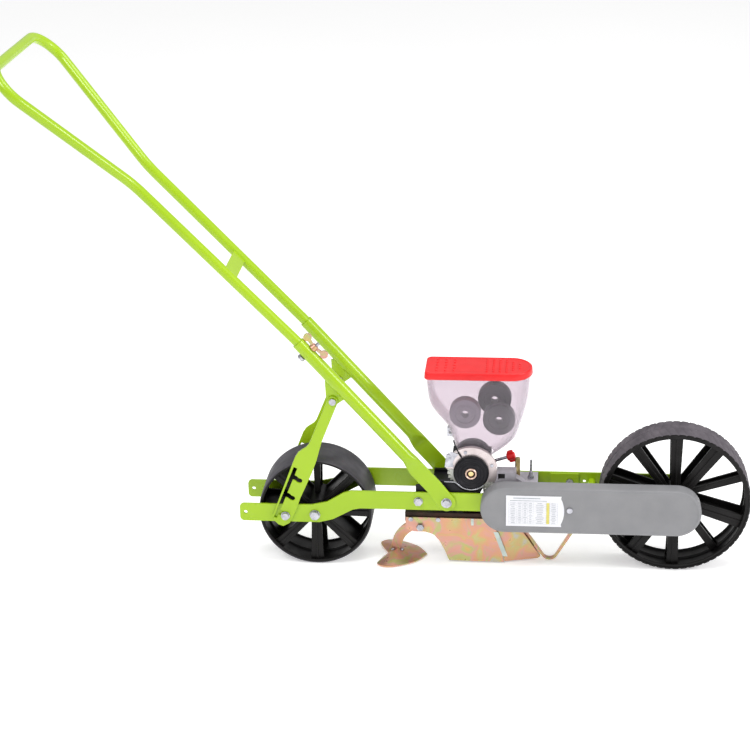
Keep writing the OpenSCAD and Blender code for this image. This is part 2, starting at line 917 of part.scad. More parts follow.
// Runner shoe: two walls that meet in a nose
module opener_shoe() {
    color(zinc)
        intersection() {
            slab_y([[199, 67], [213, 3], [276, 3], [281, 6], [252, 54], [236, 83], [197, 83]], -22, 22);
            difference() {
                linear_extrude(90)
                    polygon([[190, -21], [215, -21], [284, -3], [284, 3], [215, 21], [190, 21]]);
                translate([0, 0, -1])
                    linear_extrude(100)
                        polygon([[189, -18], [214, -18], [268, -4], [268, 4], [214, 18], [189, 18]]);
            }
        }
}

// Bent strap that skids in front of the nose
module skid_strap() {
    rear_side = concat([[216, 98], [260, 44], [276, 17]], arc(298, 17, 17, 205, 320, 10),
        [[335, 46], [366, 98]]);
    front_side = concat([[361, 98], [331, 50]], arc(298, 17, 13, 320, 205, 10), [[264, 44], [221, 98]]);
    color(zinc)
        slab_y(concat(rear_side, front_side), -5, 5);
}

// Screws through the opener plates and the coverer's pivot bolt
module opener_bolts() {
    color(steel) {
        for (x = screw_x)
            both_sides() {
                rod_y(x, screw_z, 2.5, -24.5, -18);
                rod_y(x, screw_z, 4.5, -25.6, -24);
            }
        rod_y(coverer_x, coverer_z, 4, -25, 25);
        both_sides()
            nut_y(coverer_x, coverer_z, 13, -29, -24);
    }
}

// Curved arm of the coverer: an eye on the pivot and a flat bar bent down to the blade
module coverer_arm() {
    middle = [58, 16];
    curve = 53;
    half = 9.5;
    color(zinc)
        difference() {
            union() {
                rod_y(coverer_x, coverer_z, 9, -13, 13);
                slab_y(concat(arc(middle[0], middle[1], curve + half, 95, 182, 16),
                    arc(middle[0], middle[1], curve - half, 182, 95, 16)), -3, 3);
            }
            rod_y(coverer_x, coverer_z, 4.05, -14, 14);
        }
}

// Leaf-shaped wings that draw soil over the seed: outline of one wing, from the nose round to the notch
blade_half = [[64, 0], [58, 12], [46, 29], [35, 38], [20, 47], [5, 54], [-8, 56], [-19, 54], [-26, 49],
    [-29, 43], [-25, 30], [-18, 14], [-11, 0]];
blade_t = 3;

// One wing: a fan of flat facets from the ridge's top down to the outline
module blade_wing() {
    n = len(blade_half);
    last = n - 1;
    top = concat([for (i = [0:last]) [blade_half[i][0], blade_half[i][1], i < last ? 4.6 : 9]], [[10, 0, 17]]);
    points = concat(top, [for (p = top) p - [0, 0, blade_t]]);
    low = n + 1;
    faces = concat([for (i = [0:last - 1]) [n, i + 1, i]],
        [for (i = [0:last - 1]) [n + low, i + low, i + 1 + low]],
        [for (i = [0:last - 1]) [i, i + 1, i + 1 + low, i + low]],
        [[0, low, n + low, n], [n, n + low, last + low, last]]);
    polyhedron(points = points, faces = faces);
}

module coverer_blade() {
    color(zinc)
        both_sides()
            blade_wing();
}

// ---- handle ----

// Runs its children along the lower tube's axis, starting beside the pivot bolt
module along_tube() {
    translate([pivot_x, 0, pivot_z])
        rotate([0, handle_slope - 90, 0])
            translate([tube_lift, 0, 0])
                children();
}

module handle_tube() {
    color(lime)
        difference() {
            union() {
                along_tube()
                    translate([0, -tube_y, tube_foot])
                        cylinder(r = lower_tube_d / 2, h = tube_top - tube_foot);
                along_tube()
                    translate([-19, -strap_out, 14])
                        cube([32, 4, tube_foot - 8]);
                rod_y(pivot_x, pivot_z, 17.5, -strap_out, -strap_in);
                slab_y([[strut_top_x - 12, strut_top_z - 8], [strut_top_x + 4, strut_top_z - 13],
                    [strut_top_x + 26, strut_top_z + 6], [strut_top_x + 10, strut_top_z + 38],
                    [strut_top_x - 14, strut_top_z + 42]], -strap_in + 0.6, -strap_in + 4.6);
            }
            along_tube()
                translate([0, -tube_y, tube_foot + 8])
                    cylinder(r = upper_tube_d / 2 + 0.1, h = tube_top - tube_foot);
            rod_y(pivot_x, pivot_z, 4.05, -strap_out - 1, -strap_in + 1);
            rod_y(strut_top_x, strut_top_z, 3.55, -strap_in, -strap_in + 6);
            along_tube()
                translate([0, -tube_y, tube_top - 26])
                    rotate([0, 90, 0])
                        cylinder(r = 3.2, h = 40, center = true);
        }
}

module handle_tube_right() {
    handle_tube();
}

module handle_tube_left() {
    mirror([0, 1, 0])
        handle_tube();
}

// Pins of the struts in the tube tabs
module strut_top_bolts() {
    color(steel)
        both_sides() {
            rod_y(strut_top_x, strut_top_z, 3.5, -strap_out - 1, -strap_in + 6);
            rod_y(strut_top_x, strut_top_z, 6.5, -strap_out - 5, -strap_out - 0.5);
            rod_y(strut_top_x, strut_top_z, 6.5, -strap_in + 4.6, -strap_in + 9);
        }
}

// Strut with a hook slot and a straight slot that lets the stud pass between the three heights
module strut() {
    foot = strut_len + 24;
    slot_r = 4.9;
    color(lime)
        translate([strut_top_x, -strap_in, strut_top_z])
            rotate([90, 0, 0])
                rotate([0, 0, strut_lean])
                    linear_extrude(4)
                        difference() {
                            union() {
                                circle(r = 10);
                                polygon([[0, -10], [100, -10], [116, -20], [128, -25], [foot - 6, -25],
                                    [foot, -18], [foot, 8], [foot - 10, 15.5], [0, 10]]);
                            }
                            circle(r = 3.55);
                            translate([notch_3, 0])
                                circle(r = slot_r);
                            translate([strut_len, 0])
                                circle(r = slot_r);
                            translate([notch_3, -slot_r])
                                square([strut_len - notch_3, 2 * slot_r]);
                            translate([154, -22])
                                square([strut_len + 13 - 154, 7]);
                        }
}

module strut_right() {
    strut();
}

module strut_left() {
    mirror([0, 1, 0])
        strut();
}

function seam_point(s) = [pivot_x - s * cos(handle_slope) + tube_lift * sin(handle_slope),
    -tube_y, pivot_z + s * sin(handle_slope) + tube_lift * cos(handle_slope)];

// A round rod between two points
module rod(a, b, r) {
    d = b - a;
    translate(a)
        rotate([0, acos(d[2] / norm(d)), atan2(d[1], d[0])])
            cylinder(r = r, h = norm(d));
}

// A bend at corner p between the stretches that lead to a and b.
// It is a hair thinner than the stretches and runs into them by a millimetre, so that they join.
module bend(a, p, b, bend_r, r) {
    u = (a - p) / norm(a - p);
    v = (b - p) / norm(b - p);
    open = acos(u * v);
    centre = p + (u + v) / norm(u + v) * bend_r / sin(open / 2);
    normal = cross(u, v) / norm(cross(u, v));
    start = -(u + v) / norm(u + v);
    side = cross(normal, start);
    half = (180 - open) / 2 + 180 / PI / bend_r;
    multmatrix([[start[0], side[0], normal[0], centre[0]], [start[1], side[1], normal[1], centre[1]],
        [start[2], side[2], normal[2], centre[2]], [0, 0, 0, 1]])
        rotate([0, 0, -half])
            rotate_extrude(angle = 2 * half)
                translate([bend_r, 0])
                    circle(r = r - 0.05);
}

// Where a bend at corner p starts, on the stretch towards a
function bend_end(p, a, b, bend_r) =
    let (u = (a - p) / norm(a - p), v = (b - p) / norm(b - p))
    p + u * bend_r / tan(acos(u * v) / 2);

// Corners of the upper tube's centre line on the right side, from the foot to the grip and across it
upper_foot = seam_point(upper_from);
upper_elbow = seam_point(tube_top + 6);
upper_flare = [bend_x, -bend_y, bend_z];
upper_grip = [grip_x, -grip_w / 2, grip_z];
upper_far = [grip_x, grip_w / 2, grip_z];

// The bent upper tube: two legs, two flares and the crossbar of the grip
module upper_run(foot, r) {
    elbow_r = 300;
    flare_r = 120;
    grip_r = 52;
    both_sides() {
        rod(foot, bend_end(upper_elbow, foot, upper_flare, elbow_r), r);
        bend(foot, upper_elbow, upper_flare, elbow_r, r);
        rod(bend_end(upper_elbow, upper_flare, foot, elbow_r),
            bend_end(upper_flare, upper_elbow, upper_grip, flare_r), r);
        bend(upper_elbow, upper_flare, upper_grip, flare_r, r);
        rod(bend_end(upper_flare, upper_grip, upper_elbow, flare_r),
            bend_end(upper_grip, upper_flare, upper_far, grip_r), r);
        bend(upper_flare, upper_grip, upper_far, grip_r, r);
    }
    rod(bend_end(upper_grip, upper_far, upper_flare, grip_r),
        bend_end(upper_far, upper_grip, [bend_x, bend_y, bend_z], grip_r), r);
}

module upper_handle() {
    color(lime)
        difference() {
            upper_run(upper_foot, upper_tube_d / 2);
            upper_run(seam_point(upper_from - 1), upper_tube_d / 2 - 1.5);
        }
}

// Flat strip welded across between the two legs
module cross_brace() {
    color(lime)
        difference() {
            translate([-283, 0, 586])
                rotate([0, 46.5, 0])
                    translate([-14, -tube_y, -1.5])
                        cube([28, 2 * tube_y, 3]);
            both_sides()
                rod(upper_elbow, upper_flare, upper_tube_d / 2);
        }
}

// Clamp stud through the mouth of the right tube
module clamp_stud() {
    color(steel)
        along_tube()
            translate([0, -tube_y, tube_top - 26])
                rotate([0, 90, 0]) {
                    translate([0, 0, -18])
                        cylinder(r = 3, h = 8.3);
                    translate([0, 0, -18.5])
                        cylinder(r = 7.5, h = 6.3, $fn = 6);
                    translate([0, 0, 9.8])
                        cylinder(r = 3, h = 18);
                }
}

module clamp_wing_nut() {
    color(zinc)
        along_tube()
            translate([12.4, -tube_y, tube_top - 26])
                rotate([0, 90, 0])
                    difference() {
                        union() {
                            cylinder(r = 8, h = 9);
                            translate([-30, -3, 4])
                                cube([60, 6, 4]);
                            for (side = [-1, 1])
                                translate([side * 22, 0, 8])
                                    rotate([90, 0, 0])
                                        cylinder(r = 8, h = 6, center = true);
                        }
                        translate([0, 0, -1])
                            cylinder(r = 3.06, h = 12);
                        translate([-40, -10, -20])
                            cube([80, 20, 20]);
                    }
}

side_plate_right();
side_plate_left();
splice_plates();
frame_ties();
frame_bolts();
strut_studs();
handle_pivot_bolts();
rear_axle();
plate_bushes();
chain_cover_back();
chain_cover();
cover_screw();
rate_label();
gear_case();
housing_base();
roller_housing();
housing_ring();
housing_screws();
brush();
hopper();
hopper_clip();
spare_roller_light();
spare_rollers_dark();
seed_chute();
chain();
lid();
brush_knob();
wing_screw();
front_tyre();
front_wheel();
front_axle();
drive_sprocket();
rear_wheel();
rear_bush();
cross_shaft();
driven_sprocket();
drive_gear();
roller_shaft();
seed_roller();
roller_gear();
roller_disc();
brass_bush();
opener_bracket();
depth_rod();
opener_plate_right();
opener_plate_left();
opener_shoe();
skid_strap();
opener_bolts();
coverer_arm();
coverer_blade();
handle_tube_right();
handle_tube_left();
strut_top_bolts();
strut_right();
strut_left();
upper_handle();
cross_brace();
clamp_stud();
clamp_wing_nut();
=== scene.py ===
"""Looks of the push seeder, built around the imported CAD. Lengths in the builders are in millimetres."""

import json
import math
import random

import bmesh
import bpy
from mathutils import Matrix, Vector, geometry

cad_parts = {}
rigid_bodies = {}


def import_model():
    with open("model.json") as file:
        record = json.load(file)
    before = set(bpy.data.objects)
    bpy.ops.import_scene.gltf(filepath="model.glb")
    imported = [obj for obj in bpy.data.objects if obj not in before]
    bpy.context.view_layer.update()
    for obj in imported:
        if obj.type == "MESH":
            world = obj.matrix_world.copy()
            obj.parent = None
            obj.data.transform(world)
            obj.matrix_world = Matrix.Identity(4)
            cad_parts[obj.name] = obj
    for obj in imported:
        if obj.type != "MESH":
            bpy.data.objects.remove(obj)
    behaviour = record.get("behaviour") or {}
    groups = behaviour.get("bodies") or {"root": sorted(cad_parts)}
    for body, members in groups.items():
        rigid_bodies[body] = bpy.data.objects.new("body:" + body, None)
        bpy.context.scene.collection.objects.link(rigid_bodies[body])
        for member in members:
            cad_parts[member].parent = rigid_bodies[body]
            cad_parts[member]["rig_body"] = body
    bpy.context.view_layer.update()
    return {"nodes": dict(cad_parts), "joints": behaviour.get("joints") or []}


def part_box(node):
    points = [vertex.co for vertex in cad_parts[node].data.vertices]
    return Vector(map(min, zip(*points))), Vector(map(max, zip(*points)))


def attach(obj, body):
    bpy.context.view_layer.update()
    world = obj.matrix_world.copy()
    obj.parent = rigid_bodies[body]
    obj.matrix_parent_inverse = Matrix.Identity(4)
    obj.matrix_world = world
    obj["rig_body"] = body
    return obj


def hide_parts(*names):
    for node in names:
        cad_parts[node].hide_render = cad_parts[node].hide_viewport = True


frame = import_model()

MM = 0.001
random.seed(7)
JOINTS = {j["name"]: j for j in frame["joints"]}


# ---- places, all from the frame ----


def span(node):
    """Lowest and highest corner of a CAD node, in millimetres."""
    lo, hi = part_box(node)
    return lo / MM, hi / MM


def middle(node):
    """Centre of a CAD node's box, in millimetres."""
    lo, hi = span(node)
    return (lo + hi) / 2


def joint_point(name):
    """Where a joint stands, in millimetres."""
    return Vector(JOINTS[name]["pos_m"]) / MM


def joint_axis(name):
    """Direction of a joint's axis."""
    return Vector(JOINTS[name]["axis"]).normalized()


# ---- materials ----


def new_material(name):
    """A material with its node tree and its shader."""
    made = bpy.data.materials.new(name)
    made.use_nodes = True
    nodes, links = made.node_tree.nodes, made.node_tree.links
    return made, nodes, links, nodes["Principled BSDF"]


def noise(nodes, links, scale, detail=4.0, distortion=0.0, stretch=None):
    """A noise texture in the piece's own coordinates."""
    place = nodes.new("ShaderNodeTexCoord")
    out = place.outputs["Object"]
    if stretch:
        mapping = nodes.new("ShaderNodeMapping")
        mapping.inputs["Scale"].default_value = stretch
        links.new(out, mapping.inputs["Vector"])
        out = mapping.outputs["Vector"]
    tex = nodes.new("ShaderNodeTexNoise")
    tex.inputs["Scale"].default_value = scale
    tex.inputs["Detail"].default_value = detail
    tex.inputs["Distortion"].default_value = distortion
    links.new(out, tex.inputs["Vector"])
    return tex.outputs["Fac"]


def ramp(nodes, links, source, stops):
    """Colours picked along a value."""
    made = nodes.new("ShaderNodeValToRGB")
    elements = made.color_ramp.elements
    while len(elements) < len(stops):
        elements.new(0.5)
    for element, (at, color) in zip(elements, stops):
        element.position = at
        element.color = (*color, 1.0)
    links.new(source, made.inputs["Fac"])
    return made.outputs["Color"]


def rough_range(nodes, links, source, low, high):
    """Roughness between two values, driven by noise."""
    made = nodes.new("ShaderNodeMapRange")
    made.inputs["From Min"].default_value = 0.3
    made.inputs["From Max"].default_value = 0.7
    made.inputs["To Min"].default_value = low
    made.inputs["To Max"].default_value = high
    links.new(source, made.inputs["Value"])
    return made.outputs["Result"]


def add_bump(nodes, links, bsdf, source, strength, distance):
    """Small unevenness of the surface."""
    bump = nodes.new("ShaderNodeBump")
    bump.inputs["Strength"].default_value = strength
    bump.inputs["Distance"].default_value = distance
    links.new(source, bump.inputs["Height"])
    links.new(bump.outputs["Normal"], bsdf.inputs["Normal"])


def surface(name, stops, scale, rough, metal=0.0, coat=0.0, bump=None, detail=4.0, distortion=0.0,
            stretch=None,
            shine=0.5):
    """A procedural finish: noise drives colour and roughness, and a finer noise the bump."""
    made, nodes, links, bsdf = new_material(name)
    base = noise(nodes, links, scale, detail, distortion, stretch)
    links.new(ramp(nodes, links, base, stops), bsdf.inputs["Base Color"])
    links.new(rough_range(nodes, links, noise(nodes, links, scale * 2.3), *rough), bsdf.inputs["Roughness"])
    bsdf.inputs["Metallic"].default_value = metal
    bsdf.inputs["Specular IOR Level"].default_value = shine
    bsdf.inputs["Coat Weight"].default_value = coat
    bsdf.inputs["Coat Roughness"].default_value = 0.08
    if bump:
        add_bump(nodes, links, bsdf, noise(nodes, links, bump[0]), bump[1], bump[2])
    return made


def clear_plastic(name):
    """Tinted clear plastic that turns more solid at its edges."""
    made, nodes, links, bsdf = new_material(name)
    tint = ramp(nodes, links, noise(nodes, links, 9.0),
                [(0.3, (0.70, 0.66, 0.72)), (0.7, (0.80, 0.76, 0.82))])
    links.new(tint, bsdf.inputs["Base Color"])
    links.new(rough_range(nodes, links, noise(nodes, links, 30.0), 0.05, 0.12), bsdf.inputs["Roughness"])
    bsdf.inputs["IOR"].default_value = 1.45
    clear = nodes.new("ShaderNodeBsdfTransparent")
    clear.inputs["Color"].default_value = (0.89, 0.855, 0.88, 1.0)
    edge = nodes.new("ShaderNodeLayerWeight")
    edge.inputs["Blend"].default_value = 0.35
    share = nodes.new("ShaderNodeMapRange")
    share.inputs["From Min"].default_value = 0.0
    share.inputs["From Max"].default_value = 0.9
    share.inputs["To Min"].default_value = 0.05
    share.inputs["To Max"].default_value = 0.55
    links.new(edge.outputs["Facing"], share.inputs["Value"])
    mix = nodes.new("ShaderNodeMixShader")
    links.new(share.outputs["Result"], mix.inputs["Fac"])
    links.new(clear.outputs["BSDF"], mix.inputs[1])
    links.new(bsdf.outputs["BSDF"], mix.inputs[2])
    links.new(mix.outputs["Shader"], nodes["Material Output"].inputs["Surface"])
    return made


LIME = surface("lime_paint", [(0.35, (0.315, 0.500, 0.005)), (0.65, (0.355, 0.545, 0.008))], 6.0,
               (0.26, 0.34), coat=0.2,
               bump=(90.0, 0.05, 0.0004), shine=0.4)
BOLT = surface("bolt_steel", [(0.3, (0.32, 0.32, 0.36)), (0.7, (0.58, 0.58, 0.63))], 90.0, (0.2, 0.4),
               metal=0.95)
ZINC = surface("zinc_plate", [(0.26, (0.46, 0.44, 0.40)), (0.36, (0.52, 0.44, 0.18)),
                              (0.44, (0.64, 0.34, 0.20)),
                              (0.52, (0.62, 0.32, 0.27)), (0.60, (0.44, 0.46, 0.18)),
                              (0.68, (0.62, 0.38, 0.15)),
                              (0.78, (0.42, 0.50, 0.48))],
               24.0, (0.26, 0.46), metal=0.65, distortion=0.9, bump=(120.0, 0.05, 0.0004))
SILVER = surface("ring_plate", [(0.3, (0.60, 0.52, 0.52)), (0.7, (0.74, 0.66, 0.66))], 40.0, (0.25, 0.4),
                 metal=0.75)
OLIVE = surface("rod_plate", [(0.3, (0.20, 0.15, 0.06)), (0.7, (0.42, 0.34, 0.16))], 90.0, (0.3, 0.45),
                metal=0.8)
# Near-black brown steel. On the opener bracket its darkness is painted shade of the shadowed gap between the
# side plates; it also colours the recessed core of the brass bush.
DARK_STEEL_SHADE = surface("dark_steel", [(0.3, (0.016, 0.009, 0.006)), (0.7, (0.060, 0.026, 0.014))], 40.0, (0.4, 0.6),
               metal=0.3,
               shine=0.3)
# Pale blue-grey zinc for the raised weld strips on the opener plate: the paleness is a painted highlight
# along the bend.
SEAM_HIGHLIGHT = surface("zinc_seam_painted_highlight", [(0.3, (0.42, 0.50, 0.47)), (0.7, (0.60, 0.68, 0.64))], 60.0, (0.35, 0.5),
               metal=0.5)
CHAIN = surface("chain_steel", [(0.3, (0.16, 0.15, 0.13)), (0.7, (0.30, 0.28, 0.25))], 80.0, (0.3, 0.5),
                metal=0.9)
BRASS = surface("brass", [(0.3, (0.72, 0.48, 0.20)), (0.7, (0.88, 0.66, 0.34))], 70.0, (0.2, 0.38),
                metal=0.95)
PINK_BRASS = surface("pink_brass", [(0.3, (0.62, 0.42, 0.34)), (0.7, (0.78, 0.56, 0.46))], 70.0,
                     (0.25, 0.4), metal=0.8)
GREY = surface("grey_plastic", [(0.3, (0.215, 0.215, 0.225)), (0.7, (0.245, 0.245, 0.255))], 25.0,
               (0.42, 0.55),
               bump=(420.0, 0.12, 0.0003))
CAST = surface("cast_grey", [(0.3, (0.30, 0.28, 0.31)), (0.7, (0.46, 0.44, 0.48))], 45.0, (0.45, 0.65),
               metal=0.25,
               bump=(260.0, 0.3, 0.0006))
BLACK = surface("black_plastic", [(0.3, (0.006, 0.006, 0.008)), (0.7, (0.016, 0.015, 0.019))], 30.0,
                (0.32, 0.5),
                bump=(300.0, 0.1, 0.0003), shine=0.18)
WHEEL = surface("black_wheel", [(0.3, (0.004, 0.0035, 0.0035)), (0.7, (0.010, 0.009, 0.009))], 25.0,
                (0.34, 0.5),
                bump=(260.0, 0.12, 0.0004), shine=0.2)
TREAD = surface("tread_black", [(0.3, (0.046, 0.043, 0.052)), (0.7, (0.074, 0.069, 0.082))], 25.0,
                (0.5, 0.68),
                bump=(260.0, 0.2, 0.0004), shine=0.3)
RUBBER = surface("tyre_rubber", [(0.3, (0.070, 0.061, 0.072)), (0.7, (0.125, 0.110, 0.125))], 30.0,
                 (0.6, 0.8),
                 bump=(240.0, 0.3, 0.0005), shine=0.3)
RED = surface("red_plastic", [(0.3, (0.68, 0.006, 0.008)), (0.7, (0.80, 0.014, 0.016))], 14.0, (0.3, 0.42),
              shine=0.42)
CLEAR = clear_plastic("clear_plastic")
ROLLER_LIGHT = surface("roller_light", [(0.3, (0.20, 0.19, 0.22)), (0.7, (0.30, 0.28, 0.32))], 20.0,
                       (0.4, 0.55))
ROLLER_DARK = surface("roller_dark", [(0.3, (0.010, 0.009, 0.014)), (0.7, (0.030, 0.028, 0.036))], 20.0,
                      (0.35, 0.5),
                      shine=0.3)
NYLON = surface("white_gear", [(0.3, (0.66, 0.66, 0.62)), (0.7, (0.78, 0.78, 0.74))], 20.0, (0.35, 0.5))
BRISTLE = surface("bristle", [(0.3, (0.02, 0.02, 0.02)), (0.7, (0.07, 0.07, 0.07))], 300.0, (0.6, 0.8),
                  bump=(500.0, 0.6, 0.001), stretch=(1.0, 1.0, 0.1))
CARD = surface("label", [(0.3, (0.72, 0.72, 0.76)), (0.7, (0.82, 0.82, 0.85))], 25.0, (0.3, 0.42))
PRINT = surface("label_print", [(0.3, (0.34, 0.36, 0.40)), (0.7, (0.48, 0.50, 0.54))], 200.0, (0.35, 0.45))
YELLOW = surface("label_yellow", [(0.3, (0.62, 0.55, 0.10)), (0.7, (0.74, 0.66, 0.18))], 120.0, (0.35, 0.45))
# Near-black for the inside of an opening: painted shade.
HOLE_SHADE = surface("painted_hole_shade", [(0.3, (0.006, 0.006, 0.006)), (0.7, (0.012, 0.012, 0.012))], 20.0, (0.6, 0.8))


# ---- building meshes ----


def make(name, geo, body, material, stands=(), bevel=0.0, segments=2, angle=38, extra=()):
    """A piece from (vertices in mm, faces[, material index of each face])."""
    mesh = bpy.data.meshes.new(name)
    mesh.from_pydata([tuple(c * MM for c in v) for v in geo[0]], [], geo[1])
    for one in (material, *extra):
        mesh.materials.append(one)
    if len(geo) > 2:
        mesh.polygons.foreach_set("material_index", geo[2])
    bm = bmesh.new()
    bm.from_mesh(mesh)
    bmesh.ops.remove_doubles(bm, verts=bm.verts, dist=1e-6)
    bmesh.ops.recalc_face_normals(bm, faces=bm.faces)
    return finish_piece(name, mesh, bm, body, stands, bevel, segments, angle)


def finish_piece(name, mesh, bm, body, stands, bevel, segments, angle):
    """Smooth shading with sharp or rounded edges, then the place in the frame."""
    limit = math.radians(angle)
    for face in bm.faces:
        face.smooth = True
    for edge in bm.edges:
        sharp = len(edge.link_faces) == 2 and edge.calc_face_angle(0.0) > limit
        edge.smooth = not (sharp and bevel == 0)
    bm.to_mesh(mesh)
    bm.free()
    made = bpy.data.objects.new("v_" + name, mesh)
    bpy.context.scene.collection.objects.link(made)
    if bevel:
        cut = made.modifiers.new("edge", "BEVEL")
        cut.width = bevel * MM
        cut.segments = segments
        cut.limit_method = "ANGLE"
        cut.angle_limit = limit
        cut.use_clamp_overlap = True
        made.modifiers.new("normals", "WEIGHTED_NORMAL").keep_sharp = True
    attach(made, body)
    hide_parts(*stands)
    return made


def clad(node, material, bevel=0.5, segments=2, angle=38):
    """A piece with the CAD node's own shape and rounded edges."""
    source = frame["nodes"][node]
    bm = bmesh.new()
    bm.from_mesh(source.data)
    bmesh.ops.remove_doubles(bm, verts=bm.verts, dist=5e-6)
    bmesh.ops.dissolve_limit(bm, angle_limit=math.radians(0.8), verts=bm.verts, edges=bm.edges)
    bmesh.ops.recalc_face_normals(bm, faces=bm.faces)
    plain = bpy.data.meshes.new(node + "_plain")
    plain.materials.append(material)
    for face in bm.faces:
        face.material_index = 0
    return finish_piece(node, plain, bm, source["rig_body"], (node,), bevel, segments, angle)


def join(*geos):
    """Several pieces of geometry as one."""
    verts, faces, mats = [], [], []
    for geo in geos:
        n = len(verts)
        verts += [tuple(v) for v in geo[0]]
        faces += [tuple(i + n for i in f) for f in geo[1]]
        mats += list(geo[2]) if len(geo) > 2 else [0] * len(geo[1])
    return verts, faces, mats


def painted(geo, index):
    """The same geometry with one material index on every face."""
    return geo[0], geo[1], [index] * len(geo[1])


def moved(geo, matrix):
    """The same geometry put elsewhere."""
    return ([matrix @ Vector(v) for v in geo[0]], *geo[1:])


def block(x0, x1, y0, y1, z0, z1):
    """A box between two values on each axis."""
    verts = [(x, y, z) for x in (x0, x1) for y in (y0, y1) for z in (z0, z1)]
    return verts, [(0, 1, 3, 2), (4, 6, 7, 5), (0, 4, 5, 1), (2, 3, 7, 6), (0, 2, 6, 4), (1, 5, 7, 3)]


def arc(cx, cz, r, a0, a1, n=12):
    """Points of a round stretch in the XZ plane, angles in degrees."""
    return [(cx + r * math.cos(math.radians(a0 + (a1 - a0) * i / n)),
             cz + r * math.sin(math.radians(a0 + (a1 - a0) * i / n))) for i in range(n + 1)]


def circle(cx, cz, r, n=24):
    """Points of a full circle in the XZ plane."""
    return arc(cx, cz, r, 0, 360, n)[:-1]


def within(x, z, loop):
    """Whether a point lies inside a closed outline."""
    hit = False
    for (x0, z0), (x1, z1) in zip(loop, [*loop[1:], loop[0]]):
        if (z0 > z) != (z1 > z) and x < (x1 - x0) * (z - z0) / (z1 - z0) + x0:
            hit = not hit
    return hit


def slab(outline, y0, y1, holes=()):
    """A flat piece in the XZ plane between two Y values, with holes."""
    loops = [list(outline), *[list(h) for h in holes]]
    flat, edges = [], []
    for loop in loops:
        n = len(flat)
        flat += [Vector(p) for p in loop]
        edges += [(n + i, n + (i + 1) % len(loop)) for i in range(len(loop))]
    points, _, faces = geometry.delaunay_2d_cdt(flat, edges, [], 1 if holes else 4, 1e-5)[:3]
    mids = [sum((points[i] for i in f), Vector((0, 0))) / len(f) for f in faces]
    faces = [f for f, m in zip(faces, mids) if not any(within(m.x, m.y, loop) for loop in loops[1:])]
    n = len(points)
    verts = [(p[0], y0, p[1]) for p in points] + [(p[0], y1, p[1]) for p in points]
    made = [tuple(f) for f in faces] + [tuple(i + n for i in reversed(f)) for f in faces]
    seen = {}
    for f in faces:
        for i in range(len(f)):
            key = frozenset((f[i], f[(i + 1) % len(f)]))
            seen.setdefault(key, []).append((f[i], f[(i + 1) % len(f)]))
    made += [(p[0][1], p[0][0], p[0][0] + n, p[0][1] + n) for p in seen.values() if len(p) == 1]
    return verts, made


def revolve(profile, x, z, n=64, closed=True):
    """A profile of (radius, y) points turned about a line along Y."""
    verts, faces = [], []
    for i in range(n):
        a = 2 * math.pi * i / n
        verts += [(x + r * math.cos(a), y, z + r * math.sin(a)) for r, y in profile]
    m = len(profile)
    for i in range(n):
        j = (i + 1) % n
        for k in range(m if closed else m - 1):
            l = (k + 1) % m
            faces.append((i * m + k, j * m + k, j * m + l, i * m + l))
    return verts, faces


def drum(x, z, r, y0, y1, soft=0.6, n=48, bore=0.0):
    """A short cylinder along Y with softened rims."""
    outer = [(r - soft, y0), (r - soft * 0.3, y0 + soft * 0.3), (r, y0 + soft), (r, y1 - soft),
             (r - soft * 0.3, y1 - soft * 0.3), (r - soft, y1)]
    return revolve([(max(bore, 0.01), y0), *outer, (max(bore, 0.01), y1)], x, z, n)


def along(geo, origin, direction):
    """Turns a piece that was built about the Y line through 0 so that it points the given way."""
    turn = Vector((0, 1, 0)).rotation_difference(Vector(direction).normalized()).to_matrix().to_4x4()
    return moved(geo, Matrix.Translation(Vector(origin)) @ turn)


def sweep(stations, caps=True):
    """Rings of points joined in order."""
    verts, faces = [], []
    m = len(stations[0])
    for ring in stations:
        verts += [tuple(p) for p in ring]
    for k in range(len(stations) - 1):
        for i in range(m):
            j = (i + 1) % m
            faces.append((k * m + i, k * m + j, (k + 1) * m + j, (k + 1) * m + i))
    if caps:
        faces.append(tuple(range(m))[::-1])
        faces.append(tuple((len(stations) - 1) * m + i for i in range(m)))
    return verts, faces


def rounded_path(corners, radii, step=5.0):
    """A line through corners with each one rounded."""
    out = [Vector(corners[0])]
    for k in range(1, len(corners) - 1):
        a, p, b = (Vector(corners[k + d]) for d in (-1, 0, 1))
        u, v = (a - p).normalized(), (b - p).normalized()
        opening = u.angle(v)
        reach = radii[k - 1] / math.tan(opening / 2)
        centre = p + (u + v).normalized() * radii[k - 1] / math.sin(opening / 2)
        s, e = p + u * reach - centre, p + v * reach - centre
        turn = s.angle(e)
        n = max(3, int(math.degrees(turn) / step) + 1)
        axis = s.cross(e).normalized()
        out += [centre + Matrix.Rotation(turn * i / n, 3, axis) @ s for i in range(n + 1)]
    out.append(Vector(corners[-1]))
    return out


def tube(path, r, n=28, caps=True):
    """A round tube along a path, with a frame that doesn't twist."""
    rings, side = [], None
    for k, p in enumerate(path):
        ahead = path[min(k + 1, len(path) - 1)] - path[max(k - 1, 0)]
        ahead.normalize()
        if side is None:
            side = ahead.orthogonal().normalized()
        side = (side - ahead * side.dot(ahead)).normalized()
        up = ahead.cross(side)
        radius = r[k] if isinstance(r, (list, tuple)) else r
        rings.append([p + (side * math.cos(a) + up * math.sin(a)) * radius
                      for a in (2 * math.pi * i / n for i in range(n))])
    return sweep(rings, caps)


def mirrored(geo):
    """The same geometry on the other side of the middle plane."""
    return ([(v[0], -v[1], v[2]) for v in geo[0]], [tuple(reversed(f)) for f in geo[1]], *geo[2:])


# ---- frame of flat bars ----

